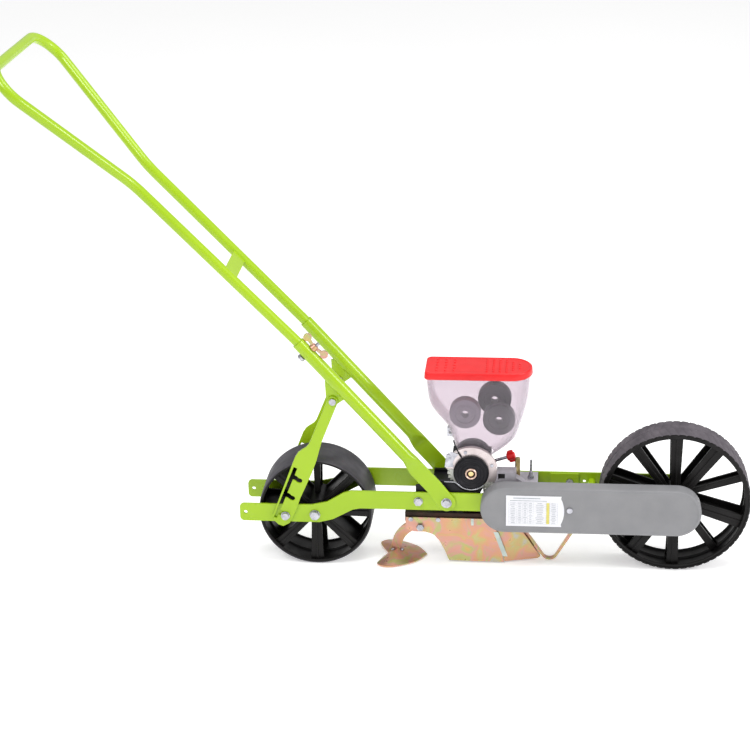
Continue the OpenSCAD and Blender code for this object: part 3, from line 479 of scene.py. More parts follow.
for node in ("side_plate_right", "side_plate_left", "splice_plates", "frame_ties"):
    clad(node, LIME, bevel=0.8)
for node in ("frame_bolts", "strut_studs", "handle_pivot_bolts", "rear_axle", "strut_top_bolts"):
    clad(node, BOLT, bevel=0.6)
clad("plate_bushes", BRASS, bevel=0.3)

# ---- front wheel ----

axle = joint_point("front_wheel_spin")
tyre_lo, tyre_hi = span("front_tyre")
tyre_r, tyre_half = (tyre_hi.z - tyre_lo.z) / 2, (tyre_hi.y - tyre_lo.y) / 2


def lugged_tyre(x, z, r, half, lugs, height, inner):
    """Tread with slanting cross lugs that meet in the middle, and plain side walls."""
    steps, verts, faces = lugs * 8, [], []
    across = [-half, -half + 1.2, -half + 3.5, -half * 0.72, -half * 0.5, -half * 0.25, -2.2, -1.2]
    across += [1.2, 2.2] + [-y for y in across[5:1:-1]] + [half - 1.2, half]
    shoulder = {0: 3.0, 1: 1.2, 2: 0.3}
    mats = []
    for i in range(steps):
        a = 2 * math.pi * i / steps
        for k, y in enumerate(across):
            edge = min(k, len(across) - 1 - k)
            phase = (i / 8 + 0.55 * abs(y) / half + (0.5 if y > 0 else 0.0)) % 1.0
            up = 1.0 if 0.08 < phase < 0.80 else 0.0
            groove = 0.0 if abs(y) < 1.5 else 1.0
            rr = r - shoulder.get(edge, 0.0) - height * (1 - up * groove)
            verts.append((x + rr * math.cos(a), y, z + rr * math.sin(a)))
        verts.append((x + inner * math.cos(a), half, z + inner * math.sin(a)))
        verts.append((x + inner * math.cos(a), -half, z + inner * math.sin(a)))
    m = len(across) + 2
    for i in range(steps):
        j = (i + 1) % steps
        for k in range(m):
            l = (k + 1) % m
            faces.append((i * m + k, j * m + k, j * m + l, i * m + l))
            mats.append(0 if 0 < k < m - 4 else 1)
    return verts, faces, mats


make("front_tyre", lugged_tyre(axle.x, axle.z, tyre_r, tyre_half, 58, 1.1, tyre_r - 5), "front_wheel",
     RUBBER,
     ("front_tyre",), angle=30, extra=(WHEEL,))


def wheel(x, z, r_out, r_in, half, widths, spoke_half, hub_r, hub_half, bore, first=90.0):
    """Moulded wheel: a lipped rim, I-shaped spokes with a proud rib, and a stepped hub."""
    t = 2.8
    rim = [(r_out, -half), (r_out, half), (r_in + 1, half), (r_in, half - 1), (r_in, half - 3),
           (r_out - t, half - 5),
           (r_out - t, 3), (r_in + 0.5, 1.5), (r_in + 0.5, -1.5), (r_out - t, -3), (r_out - t, -half + 5),
           (r_in, -half + 3), (r_in, -half + 1), (r_in + 1, -half)]
    hub = [(bore, -hub_half), (hub_r - 6, -hub_half), (hub_r - 5, -hub_half + 1),
           (hub_r - 5, -spoke_half - 2),
           (hub_r, -spoke_half - 1), (hub_r, spoke_half + 1), (hub_r - 5, spoke_half + 2),
           (hub_r - 5, hub_half - 1),
           (hub_r - 6, hub_half), (bore, hub_half)]
    parts = [revolve(rim, x, z, 120), revolve(hub, x, z, 64)]
    reach = r_out - t + 0.5
    for i, spoke_w in enumerate(widths):
        spoke_angle = -math.radians(first - i * 360 / len(widths))
        turn = (Matrix.Translation((x, 0, z)) @ Matrix.Rotation(spoke_angle, 4, "Y"))
        wide, narrow = spoke_w / 2, spoke_w / 2 * 0.8
        slim = spoke_w < 16
        flanges = ((-4, 2), (spoke_half - 5, spoke_half)) if slim else ((-spoke_half, -spoke_half + 5),
                                                                        (spoke_half - 5, spoke_half))
        for y0, y1 in flanges:
            outline = [(hub_r - 2, -narrow), (hub_r + 8, -narrow), (reach - 9, -wide), (reach, -wide * 1.05),
                       (reach, wide * 1.05), (reach - 9, wide), (hub_r + 8, narrow), (hub_r - 2, narrow)]
            parts.append(moved(slab(outline, y0, y1), turn))
        rib = 0 if slim else -spoke_half - 1.6
        parts.append(moved(block(hub_r - 2, reach, rib, spoke_half - 4, -2, 2), turn))
    return join(*parts)


wheel_lo, wheel_hi = span("front_wheel")
wheel_half = (wheel_hi.y - wheel_lo.y) / 2
front_widths = [22, 26, 13, 26, 15, 22, 26, 14, 24, 19]
make("front_wheel", wheel(axle.x, axle.z, tyre_r - 4, tyre_r - 11, wheel_half, front_widths, 22, 26, 30, 8),
     "front_wheel", WHEEL, ("front_wheel",), bevel=0.8)
clad("front_axle", BOLT, bevel=0.5)
clad("drive_sprocket", CHAIN, bevel=0.3)

# ---- rear wheel ----

rear = joint_point("rear_wheel_spin")
rear_lo, rear_hi = span("rear_wheel")
rear_r, rear_half = (rear_hi.z - rear_lo.z) / 2, (rear_hi.y - rear_lo.y) / 2
rear_widths = [14, 16, 22, 20, 24, 20, 22, 18]
make("rear_wheel", wheel(rear.x, rear.z, rear_r - 0.8, rear_r - 7, rear_half - 0.5, rear_widths,
                         rear_half - 8, 24, 40, 8),
     "rear_wheel", WHEEL, ("rear_wheel",), bevel=0.8)
tread = [(rear_r - 1, -rear_half), (rear_r - 0.5, -rear_half + 1), (rear_r, -rear_half + 5),
         (rear_r, rear_half - 5),
         (rear_r - 0.5, rear_half - 1), (rear_r - 1, rear_half), (rear_r - 2.5, rear_half),
         (rear_r - 2.5, -rear_half)]
make("rear_tread", revolve(tread, rear.x, rear.z, 128), "rear_wheel", TREAD, angle=30)
clad("rear_bush", BOLT, bevel=0.4)

# ---- chain drive ----

clad("chain", CHAIN, bevel=0.0)
clad("driven_sprocket", CHAIN, bevel=0.3)
clad("cross_shaft", BOLT, bevel=0.4)
for node in ("drive_gear", "roller_gear"):
    clad(node, NYLON, bevel=0.0, angle=25)
clad("chain_cover_back", GREY, bevel=0.5)

cover_lo, cover_hi = span("chain_cover")
cover_z, cover_r = (cover_lo.z + cover_hi.z) / 2, (cover_hi.z - cover_lo.z) / 2
cover_x0, cover_x1 = cover_lo.x + cover_r, cover_hi.x - cover_r


def stadium(r, y, n=40):
    """Outline of the chain cover, moved in or out, at one depth."""
    ring = [(cover_x0 + r * math.cos(a), y, cover_z + r * math.sin(a))
            for a in (math.radians(90 + 180 * i / n) for i in range(n + 1))]
    ring += [(cover_x1 + r * math.cos(a), y, cover_z + r * math.sin(a))
             for a in (math.radians(-90 + 180 * i / n) for i in range(n + 1))]
    return ring


face_y = cover_lo.y
shell = [(cover_r - 2.3, cover_hi.y), (cover_r, cover_hi.y), (cover_r, face_y + 5),
         (cover_r - 0.3, face_y + 3),
         (cover_r - 1.2, face_y + 1.2), (cover_r - 2.6, face_y + 0.3), (cover_r - 4, face_y),
         (cover_r - 5.5, face_y),
         (cover_r - 6.3, face_y + 0.5), (cover_r - 7, face_y + 0.7)]
inside = [(cover_r - 7, face_y + 2.4), (cover_r - 3.5, face_y + 2.6), (cover_r - 2.3, face_y + 5),
          (cover_r - 2.3, cover_hi.y)]
outer_geo = sweep([stadium(r, y) for r, y in shell], caps=False)
ring_size = len(stadium(cover_r, face_y))
outer_geo[1].append(tuple((len(shell) - 1) * ring_size + i for i in range(ring_size)))
inner_geo = sweep([stadium(r, y) for r, y in inside], caps=False)
inner_geo[1].append(tuple(range(ring_size)))
make("chain_cover", join(outer_geo, inner_geo), "frame", GREY, ("chain_cover",), angle=30)

screw = middle("cover_screw")
make("cover_screw", join(drum(screw.x, screw.z, 5.6, face_y - 1.8, face_y + 0.5, 0.8, 32),
                         drum(screw.x, screw.z, 2.5, face_y, span("cover_screw")[1].y, 0.3, 16)),
     "frame", BOLT, ("cover_screw",), angle=30)

# ---- label without lettering ----

label_lo, label_hi = span("rate_label")
label_y = label_lo.y + 0.12
bulge = arc(label_hi.x - 60, cover_z, 60, -26, 26, 10)
outline = [(label_lo.x, label_hi.z), (label_lo.x, label_lo.z), (label_hi.x - 5, label_lo.z), *bulge,
           (label_hi.x - 5, label_hi.z)]
make("rate_label", slab(outline, label_y, label_hi.y + 0.6), "frame", CARD, ("rate_label",),
     angle=30)


def stroke(x0, x1, z0, z1, index=0):
    """A printed line on the label."""
    return painted(block(x0, x1, label_lo.y + 0.02, label_y + 0.05, z0, z1), index)


def label_print():
    """A table of plain lines and bars that stands for the spacing chart."""
    left, right = label_lo.x + 5, label_hi.x - 12
    top, base = label_hi.z - 13, label_lo.z + 5
    out = [stroke(left + 8, left + 58, label_hi.z - 6, label_hi.z - 3.6),
           stroke(left + 2, left + 70, label_hi.z - 10.5, label_hi.z - 9)]
    wide_at = 0.72 * (label_hi.x - label_lo.x) - 5
    rows, columns = 12, [0, 15, 25, 35, 45, wide_at - 3, wide_at + 3, right - left]
    for i in range(rows + 1):
        z = base + (top - base) * i / rows
        out.append(stroke(left, right, z - 0.12, z + 0.12))
    for c in columns:
        out.append(stroke(left + c - 0.15, left + c + 0.15, base, top))
    for i in range(rows):
        z = base + (top - base) * (i + 0.5) / rows
        for a, b in zip(columns, columns[1:]):
            if b == wide_at + 3:
                continue
            wide = (b - a) * random.uniform(0.35, 0.7)
            mid = left + (a + b) / 2
            out.append(stroke(mid - wide / 2, mid + wide / 2, z - 0.55, z + 0.55))
    out.append(stroke(left + wide_at - 2.7, left + wide_at + 2.7, base + 0.4, top - 0.4, 1))
    return join(*out)


make("label_print", label_print(), "frame", PRINT, extra=(YELLOW,), angle=30)

# ---- gear case and metering unit ----

clad("gear_case", CAST, bevel=1.6, segments=3)
case_lo, case_hi = span("gear_case")
# A near-black sheet set inside the opening of the gear case: painted shade of the hole.
make("case_hole_shade", block(case_lo.x + 8.6, case_lo.x + 21.4, case_lo.y + 6, case_lo.y + 7.8, case_hi.z - 14.9,
                        case_hi.z - 3.1),
     "frame", HOLE_SHADE)
clad("housing_base", BLACK, bevel=1.0)
clad("roller_housing", BLACK, bevel=0.8)
clad("housing_ring", SILVER, bevel=0.3)
clad("housing_screws", BOLT, bevel=0.4)
clad("brush", BRISTLE, bevel=0.3)
clad("seed_chute", BLACK, bevel=0.5)
clad("roller_shaft", BRASS, bevel=0.4)
clad("seed_roller", ROLLER_LIGHT, bevel=0.3)

roll = joint_point("roller_spin")
disc_lo, disc_hi = span("roller_disc")
disc_r = (disc_hi.z - disc_lo.z) / 2
disc = [(5, disc_hi.y), (disc_r, disc_hi.y), (disc_r, disc_lo.y + 3), (disc_r - 0.6, disc_lo.y + 2.2),
        (disc_r - 2, disc_lo.y + 1.8), (disc_r - 2.4, disc_lo.y + 0.6), (disc_r - 3.2, disc_lo.y),
        (disc_r - 8, disc_lo.y), (disc_r - 9, disc_lo.y + 1.2), (disc_r - 14, disc_lo.y + 1.4),
        (disc_r - 15, disc_lo.y + 0.2), (12.5, disc_lo.y), (11.3, disc_lo.y + 0.8), (11.3, disc_lo.y + 4),
        (5, disc_lo.y + 4)]
make("roller_disc", revolve(disc, roll.x, roll.z, 96), "roller", BLACK, ("roller_disc",),
     angle=28)
bush_lo, bush_hi = span("brass_bush")
rim = [(10.9, bush_hi.y), (10.9, bush_lo.y + 1), (10.2, bush_lo.y + 0.2), (8.6, bush_lo.y),
       (8.0, bush_lo.y + 0.6),
       (8.0, bush_hi.y)]
core = [(7.9, bush_hi.y), (7.9, bush_lo.y + 1.4), (7.3, bush_lo.y + 0.9), (5.6, bush_lo.y + 0.9),
        (5.0, bush_lo.y + 1.4),
        (5.0, bush_hi.y)]
make("brass_bush", join(painted(revolve(rim, roll.x, roll.z, 64), 0),
                        painted(revolve(core, roll.x, roll.z, 64), 1)),
     "roller", PINK_BRASS, ("brass_bush",), angle=28, extra=(DARK_STEEL_SHADE,))

base_front = span("housing_base")[0].y
lip = [Vector((roll.x + x, base_front - 0.4, roll.z + z))
       for x, z in ((-50, -16.5), (-31, -16.5), (-26, -19))]
lip += [Vector((roll.x + x, base_front - 0.4, roll.z + z)) for x, z in arc(0, 0, 32, 218, 318, 16)]
make("housing_lip", tube(lip, 1.1, 10), "frame", BOLT, angle=50)

# ---- latch beside the hopper's foot ----

latch = [(roll.x + x, roll.z + z)
         for x, z in ((-49.3, 9.3), (-32.8, 9.3), (-34.3, 19.3), (-29.3, 29.3), (-23.3, 36.3),
                                               (-37.3, 41.3), (-46.3, 35.3))]
make("latch_plate", slab(latch, -38.8, -37.9), "frame", BOLT, bevel=0.2)
make("latch_screw", drum(roll.x - 42.5, roll.z + 33.5, 3.2, -40.6, -38.6, 0.8, 24), "frame",
     BOLT, angle=30)
hook = [Vector((roll.x + x, y, roll.z + z))
        for x, y, z in ((-33.3, -27, 59.3), (-29.3, -34, 50.3), (-22.3, -39.4, 37.3),
                                                            (-17.8, -39.4, 29.8))]
make("latch_hook", tube(rounded_path(hook, [8, 8], 15), 1.4, 12), "frame", BLACK, angle=50)

# ---- hopper and lid ----


def hopper_levels():
    """Back edge, front edge and half depth at each height where the CAD hopper has a ring."""
    rows = {}
    for v in frame["nodes"]["hopper"].data.vertices:
        p = v.co / MM
        rows.setdefault(round(p.z, 1), []).append(p)
    out = [(z, min(p.x for p in ps), max(p.x for p in ps), max(p.y for p in ps))
           for z, ps in sorted(rows.items()) if len(ps) >= 24 and max(p.y for p in ps) > 20]
    return out


def smooth(rows, n):
    """Catmull-Rom through rows, with n steps in each stretch."""
    out = []
    for k in range(len(rows) - 1):
        p = [rows[max(k - 1, 0)], rows[k], rows[k + 1], rows[min(k + 2, len(rows) - 1)]]
        for i in range(n):
            t = i / n
            out.append(tuple(0.5 * (2 * b + (c - a) * t + (2 * a - 5 * b + 4 * c - d) * t * t
                                    + (3 * b - a - 3 * c + d) * t ** 3) for a, b, c, d in zip(*p)))
    return out + [rows[-1]]


def hopper_ring(x0, x1, half, z, n=8):
    """Outline of the hopper at one height: square behind and round in front."""
    c = min(9.0, half - 1)
    pts = [(x0 + c + c * math.cos(a), -half + c + c * math.sin(a)) for a in
           (math.radians(180 + 90 * i / n) for i in range(n + 1))]
    pts += [(x1 - half * 0.9 + half * 0.9 * math.cos(a), half * math.sin(a)) for a in
            (math.radians(-90 + 180 * i / (4 * n)) for i in range(4 * n + 1))]
    pts += [(x0 + c + c * math.cos(a), half - c + c * math.sin(a)) for a in
            (math.radians(90 + 90 * i / n) for i in range(n + 1))]
    return [(x, y, z) for x, y in pts]


levels = smooth(hopper_levels(), 6)
wall = 2.2
outer = [hopper_ring(x0, x1, half, z) for z, x0, x1, half in levels]
inner = [hopper_ring(x0 + wall, x1 - wall, half - wall, z) for z, x0, x1, half in levels[::-1]]
skin = sweep([*outer, *inner, outer[0]], caps=False)
make("hopper", skin, "frame", CLEAR, ("hopper",), angle=50)

lid_lo, lid_hi = span("lid")


def lid_ring(grow, z):
    """Outline of the lid, moved in, at one height."""
    return hopper_ring(lid_lo.x + grow, lid_hi.x - grow, (lid_hi.y - lid_lo.y) / 2 - grow, z)


deck = lid_hi.z - 1.6
lid_outer = [lid_ring(2.4, lid_lo.z + 0.4), lid_ring(0.8, lid_lo.z), lid_ring(0.2, lid_lo.z + 0.6),
             lid_ring(0, lid_lo.z + 2), lid_ring(0.6, deck - 2.5), lid_ring(1.2, deck - 1),
             lid_ring(2.4, deck - 0.1),
             lid_ring(3.4, deck), lid_ring(5.2, deck), lid_ring(5.9, deck - 0.6), lid_ring(7, deck - 0.6)]
lid_inner = [lid_ring(7, deck - 2.2), lid_ring(2.7, deck - 2.6), lid_ring(2.4, lid_lo.z + 0.4)]
lid_geo = sweep(lid_outer, caps=False)
lid_geo[1].append(tuple((len(lid_outer) - 1) * len(lid_outer[0]) + i for i in range(len(lid_outer[0]))))
under = sweep(lid_inner, caps=False)
under[1].append(tuple(range(len(lid_inner[0])))[::-1])


def dome(x, y, z, r, h, n=12):
    """A raised dot."""
    rings = [[(x + r * k * math.cos(a), y + r * k * math.sin(a), z + h * math.sqrt(max(0.0, 1 - k * k)))
              for a in (2 * math.pi * i / n for i in range(n))] for k in (1.0, 0.85, 0.55, 0.05)]
    rings.insert(0, [(p[0], p[1], z - 0.6) for p in rings[0]])
    return sweep(rings)


dots = []
for x in (lid_lo.x + 22, lid_lo.x + 38, lid_lo.x + 54):
    dots += [dome(x, y, deck - 0.7, 2.6, 1.8) for y in (-26, -13, 0, 13, 26)]
for i in range(6):
    x = lid_hi.x - 84 + 12 * i
    reach = (28, 28, 28, 28, 20, 10)[i]
    dots += [dome(x, y, deck - 0.7, 2.6, 1.8) for y in (-28, -19, -10, 0, 10, 19, 28) if abs(y) <= reach]
notch_x = (lid_lo.x + lid_hi.x) / 2 + 2
dots.append(block(notch_x - 7, notch_x + 7, lid_lo.y + 0.4, lid_lo.y + 2.2, lid_lo.z + 1, deck - 3))
make("lid", join(lid_geo, under, *dots), "lid", RED, ("lid",), angle=42)
clad("hopper_clip", BOLT, bevel=0.5)


def loose_roller(cx, cy, cz, r, half, hub):
    """A spare seed roller with a raised hub and rim."""
    prof = [(7, -half), (hub, -half), (hub + 1, -half + 1.5), (r * 0.62, -half + 1.8), (r * 0.66, -half),
            (r - 1, -half),
            (r, -half + 1), (r, half - 1), (r - 1, half), (r * 0.66, half), (r * 0.62, half - 1.8),
            (hub + 1, half - 1.5),
            (hub, half), (7, half)]
    verts, faces = revolve(prof, cx, cz, 72)
    return [(x, y + cy, z) for x, y, z in verts], faces


light = middle("spare_roller_light")
light_r = (span("spare_roller_light")[1].z - span("spare_roller_light")[0].z) / 2
make("spare_roller_light", loose_roller(light.x, light.y, light.z, light_r, 10, 10), "frame",
     ROLLER_LIGHT, ("spare_roller_light",), angle=28)
dark_lo, dark_hi = span("spare_rollers_dark")
pair = join(loose_roller(dark_hi.x - 30, dark_lo.y + 10, dark_lo.z + 30, 30, 10, 10),
            loose_roller(dark_lo.x + 31, dark_hi.y - 10, dark_hi.z - 31, 31, 10, 10))
make("spare_rollers_dark", pair, "frame", ROLLER_DARK, ("spare_rollers_dark",), angle=28)

# ---- knobs ----

knob_at, knob_way = joint_point("brush_knob_turn"), joint_axis("brush_knob_turn")
stud = along(revolve([(0.01, 3), (3, 3), (3, 39), (0.01, 39)], 0, 0, 24), knob_at, knob_way)
grip = [(0.01, 37), (6.2, 37), (7.2, 38), (7.4, 41), (7.0, 51.6), (5.6, 53), (0.01, 53)]
body_geo = along(revolve(grip, 0, 0, 36), knob_at, knob_way)
knob_up = Vector((-knob_way.z, 0, knob_way.x))


def knob_wing():
    """Flat finger grip across the knob, wider at its ends."""
    out = []
    for t, half, thick in ((39, 9.5, 2.6), (41, 11.4, 3.2), (49, 11.8, 3.3), (51, 10, 2.6)):
        ring = [(-half, -thick), (-4, -thick * 0.7), (4, -thick * 0.7), (half, -thick), (half, thick),
                (4, thick * 0.7),
                (-4, thick * 0.7), (-half, thick)]
        out.append([knob_at + knob_way * t + knob_up * u + Vector((0, v, 0)) for u, v in ring])
    return sweep(out)


make("brush_knob", join(painted(stud, 1), painted(body_geo, 0), painted(knob_wing(), 0)), "brush_knob",
     RED, ("brush_knob",), bevel=0.7, extra=(BOLT,))

wing_at = joint_point("wing_screw_turn")
wing_lo = span("wing_screw")[0]
deck_top = wing_lo.z + 17
wing_stud = along(revolve([(0.01, 0), (3, 0), (3, 29), (0.01, 29)], 0, 0, 20),
                  (wing_at.x, wing_at.y, wing_lo.z), (0, 0, 1))
wing_hub = along(revolve([(0.01, 0), (5.8, 0), (5.8, 4.6), (4.4, 7), (3.6, 13), (0.01, 13)], 0, 0, 24),
                 (wing_at.x, wing_at.y, deck_top + 0.3), (0, 0, 1))
wire = [Vector((wing_at.x, wing_at.y + y, deck_top + z)) for y, z in
        ((-9, 33.4), (-8.6, 20), (-3.5, 10.5), (3.5, 10.5), (8.6, 20), (9, 33.4))]
make("wing_screw", join(wing_stud, wing_hub, tube(rounded_path(wire, [6, 4, 4, 6], 15), 2.2, 14)),
     "wing_screw",
     BOLT, ("wing_screw",), angle=34)

# ---- opener and coverer ----

# The opener bracket is painted near-black: painted shade of the gap under the side plates.
clad("opener_bracket", DARK_STEEL_SHADE, bevel=0.7)
rod_lo, rod_hi = span("depth_rod")
rod_x, rod_y = (rod_lo.x + rod_hi.x) / 2, (rod_lo.y + rod_hi.y) / 2


def threaded(r, z0, z1, pitch=1.6):
    """Profile of a rod with a thread."""
    prof, z = [(0.01, z0), (r - 0.9, z0)], z0 + 0.6
    while z < z1 - pitch:
        prof += [(r - 0.75, z), (r, z + pitch * 0.5)]
        z += pitch
    return prof + [(r - 0.9, z1 - 0.2), (0.01, z1)]


thread = along(revolve(threaded(5, 0, rod_hi.z - rod_lo.z), 0, 0, 24), (rod_x, rod_y, rod_lo.z), (0, 0, 1))
collar = along(drum(0, 0, 8.8, 0, 6, 0.8, 36), (rod_x, rod_y, rod_lo.z), (0, 0, 1))
make("depth_rod", join(thread, collar), "opener", OLIVE, ("depth_rod",), angle=50)

for node in ("opener_plate_right", "opener_plate_left", "opener_shoe"):
    clad(node, ZINC, bevel=0.5)
plate_y = span("opener_plate_right")[0].y
# Raised weld strips on the near opener plate, painted pale: a painted highlight on the bend and weld.
seam_highlights = [[(192, 66), (201, 66), (219, 15), (210, 15)], [(149.5, 93), (154.5, 93), (154.5, 79), (149.5, 79)]]
make("opener_seam_highlights", join(*[slab(seam, plate_y - 0.25, plate_y + 0.4) for seam in seam_highlights]), "opener",
     SEAM_HIGHLIGHT)
clad("skid_strap", ZINC, bevel=0.8, angle=30)
clad("opener_bolts", BOLT, bevel=0.6)
clad("coverer_arm", ZINC, bevel=0.8, angle=30)

blade_lo, blade_hi = span("coverer_blade")


def leaf_edge():
    """Outline of one wing in plan, from the nose round to the notch."""
    shares = [(1.0, 0.0), (0.935, 0.21), (0.81, 0.52), (0.69, 0.68), (0.53, 0.84), (0.37, 0.96),
              (0.23, 0.995),
              (0.11, 0.96), (0.035, 0.87), (0.0, 0.765), (0.045, 0.53), (0.12, 0.25), (0.195, 0.0)]
    rows = [(blade_lo.x + a * (blade_hi.x - blade_lo.x), b * blade_hi.y) for a, b in shares]
    return smooth([(x, y, 0) for x, y in rows], 5)


def blade(rings=9, thick=2.2):
    """Two leaf-shaped wings that rise in a smooth curve to the ridge under the arm."""
    crown = Vector((10, 0, blade_hi.z - 0.4))
    edge = leaf_edge()
    top, faces = [], []
    for k in range(rings + 1):
        v = k / rings
        for x, y, _ in edge:
            nose_rise = 4.2 * max(0.0, (0.25 - (x - blade_lo.x) / 100)) if y < 20 else 0
            outer = Vector((x, y, thick + 1.7 + nose_rise))
            p = outer.lerp(crown, v)
            p.z += 1.6 * math.sin(math.pi * v) * (y / blade_hi.y)
            if y == 0 or abs(p.y) < 1e-6:
                p.y = 0.0
            top.append(p)
    m = len(edge)
    for k in range(rings):
        for i in range(m - 1):
            faces.append((k * m + i, k * m + i + 1, (k + 1) * m + i + 1, (k + 1) * m + i))
    n = len(top)
    low = [(p.x, p.y, p.z - thick) for p in top]
    faces += [tuple(i + n for i in reversed(f)) for f in faces]
    faces += [(i, i + n, i + 1 + n, i + 1) for i in range(m - 1)]
    half_geo = ([tuple(p) for p in top] + low, faces)
    return join(half_geo, mirrored(half_geo))


foot_bolts = [along(revolve([(0.01, 0), (4, 0), (4, 2.2), (3, 3), (0.01, 3)], 0, 0, 6), (x, y, z), (0, 0, 1))
              for x, y, z in ((-1, -7, 14.4), (16, -7, 14.2))]
make("coverer_blade", blade(), "coverer", ZINC, ("coverer_blade",), angle=50)
make("coverer_foot", join(*foot_bolts), "coverer", BOLT, bevel=0.3)

# ---- handle ----

pivot = joint_point("handle_tilt")
way = joint_axis("handle_telescope")
across = Vector((way.z, 0, -way.x))
tube_lo, tube_hi = span("handle_tube_right")
tube_mid_y = (tube_lo.y + tube_hi.y) / 2
tube_r = (tube_hi.y - tube_lo.y) / 2
clamp = joint_point("clamp_wing_turn")
lift = (clamp - pivot).dot(across)
mouth = (clamp - pivot).dot(way) + 26


def ease(t):
    """Soft step from 0 to 1."""
    t = min(1.0, max(0.0, t))
    return t * t * (3 - 2 * t)


def handle_tube(side):
    """Round tube whose foot is pressed flat and ends in an eye round the pivot."""
    rings, n = [], 40
    marks = ([-17.2, -16.2, -14, -11, -7, -3, 0, 8, 20, 40, 62, 80]
             + [84 + 3 * i for i in range(13)] + [130, 200, 300])
    marks += [mouth - 1.2, mouth - 0.3, mouth]
    for s in marks:
        flat = 1 - ease((s - 84) / 34)
        shift = 0.0 if s < 0 else ease(s / 40) * (lift - 3)
        mid = shift * flat + lift * (1 - flat) if s > 0 else 0.0
        wide = 17.4 * math.sqrt(max(0.0, 1 - (s / 17.5) ** 2)) if s < 0 else 17.4 - 1.4 * ease(s / 40)
        a = wide * flat + tube_r * (1 - flat)
        b = 2.0 * flat + tube_r * (1 - flat)
        trim = 0.5 if s in (marks[-1],) else 0.0
        power = 2 / (2 + 6 * flat)
        ring = []
        for i in range(n):
            t = 2 * math.pi * i / n
            cu, cv = math.cos(t), math.sin(t)
            u = math.copysign(abs(cu) ** power, cu) * (a - trim)
            v = math.copysign(abs(cv) ** power, cv) * (b - trim)
            ring.append(pivot + way * s + across * (mid + u) + Vector((0, tube_mid_y + v, 0)))
        rings.append(ring)
    bore = tube_r - 2.3
    for s in (mouth, mouth - 30):
        rings.append([pivot + way * s + across * (lift + bore * math.cos(t))
                      + Vector((0, tube_mid_y + bore * math.sin(t), 0))
                      for t in (2 * math.pi * i / n for i in range(n))])
    geo = sweep(rings)
    return mirrored(geo) if side > 0 else geo


strut_top = joint_point("strut_swing")


def tube_tab(side):
    """Lug under the tube that holds the strut's bolt."""
    x, z = strut_top.x, strut_top.z
    outline = [(x - 12, z - 8), *arc(x - 2, z + 2, 13, 215, 300, 6), (x + 26, z + 6), (x + 10, z + 38),
               (x - 14, z + 40)]
    geo = slab(outline, tube_mid_y + 2.6, tube_mid_y + 6.6)
    return mirrored(geo) if side > 0 else geo


for side, word in ((-1, "right"), (1, "left")):
    make("handle_tube_" + word, handle_tube(side), "handle_lower", LIME,
         ("handle_tube_" + word,), angle=42)
    make("tube_tab_" + word, tube_tab(side), "handle_lower", LIME, bevel=0.8)

grip_lo, grip_hi = span("upper_handle")
up_r = 9.5
elbow = pivot + way * (mouth + 6) + across * lift
corner_y = -186.5
bend_point = Vector((-446.6, -62, 755))
grip_corner = Vector((grip_lo.x + up_r, corner_y, grip_hi.z - up_r))
right_half = [pivot + way * (mouth - 110) + across * lift + Vector((0, tube_mid_y, 0)),
              elbow + Vector((0, tube_mid_y, 0)),
              bend_point, grip_corner]
left_half = [Vector((p.x, -p.y, p.z)) for p in reversed(right_half)]
handle_path = rounded_path(right_half + left_half, [300, 120, 52, 52, 120, 300], 4.0)
make("upper_handle", tube(handle_path, up_r, 32), "handle_upper", LIME, ("upper_handle",),
     angle=50)
clad("cross_brace", LIME, bevel=0.6)

# ---- struts with hooked slots ----

stud_x, stud_z = -199.4, 107.3
down = Vector((stud_x - strut_top.x, 0, stud_z - strut_top.z))
strut_len = down.length
down.normalize()
back = Vector((down.z, 0, -down.x))


def strut_xz(s, t):
    """A point on the strut: along it from the top bolt, and across it to the rear."""
    p = strut_top + down * s + back * t
    return p.x, p.z


def strut_outline():
    """Outline of the strut, wider from the middle down."""
    top = [(-9.8 * math.cos(a), 9.8 * math.sin(a))
           for a in (math.radians(-80 + 160 * i / 12) for i in range(13))]
    rear_side = [(98, 10.5), (106, 13), (114, 18.5), (122, 23), (132, 25), (150, 25), (strut_len + 10, 22.5),
                 (strut_len + 19, 16), (strut_len + 23.5, 6), (strut_len + 23, -4)]
    front = [(strut_len + 12, -13), (238, -15), (208, -13.5), (183, -14.5), (152, -15.3), (124, -14.5),
             (104, -12),
             (82, -10)]
    return [strut_xz(s, t) for s, t in top + rear_side + front]


def strut_slot():
    """Side slot with three hooks into the notches of the three heights."""
    line = [(154, 20.2), (154, 13.2)]
    for s in (176, 215.5, strut_len):
        line += [(s - 7, 13.0), (s - 6.5, 8), (s - 4.4, 3.2), (s - 4.7, 0)]
        line += [(s + 4.7 * math.cos(a), -4.7 * math.sin(a))
                 for a in (math.radians(180 - 180 * i / 8) for i in range(1, 9))]
        line += [(s + 4.7, 3.5), (s + 3.0, 8), (s + 3.5, 13.0)]
    line += [(strut_len + 12, 13.2), (strut_len + 12, 19.4)]
    return [strut_xz(s, t) for s, t in line]


strut_lo, strut_hi = span("strut_right")
for side, word in ((-1, "right"), (1, "left")):
    plate = slab(strut_outline(), strut_lo.y, strut_hi.y,
                 [strut_slot(), circle(strut_top.x, strut_top.z, 3.6)])
    make("strut_" + word, mirrored(plate) if side > 0 else plate, "struts", LIME,
         ("strut_" + word,),
         bevel=0.7)

# ---- clamp ----

clad("clamp_stud", BOLT, bevel=0.5)
clamp_way = joint_axis("clamp_wing_turn")
clamp_foot = clamp + clamp_way * 12.4


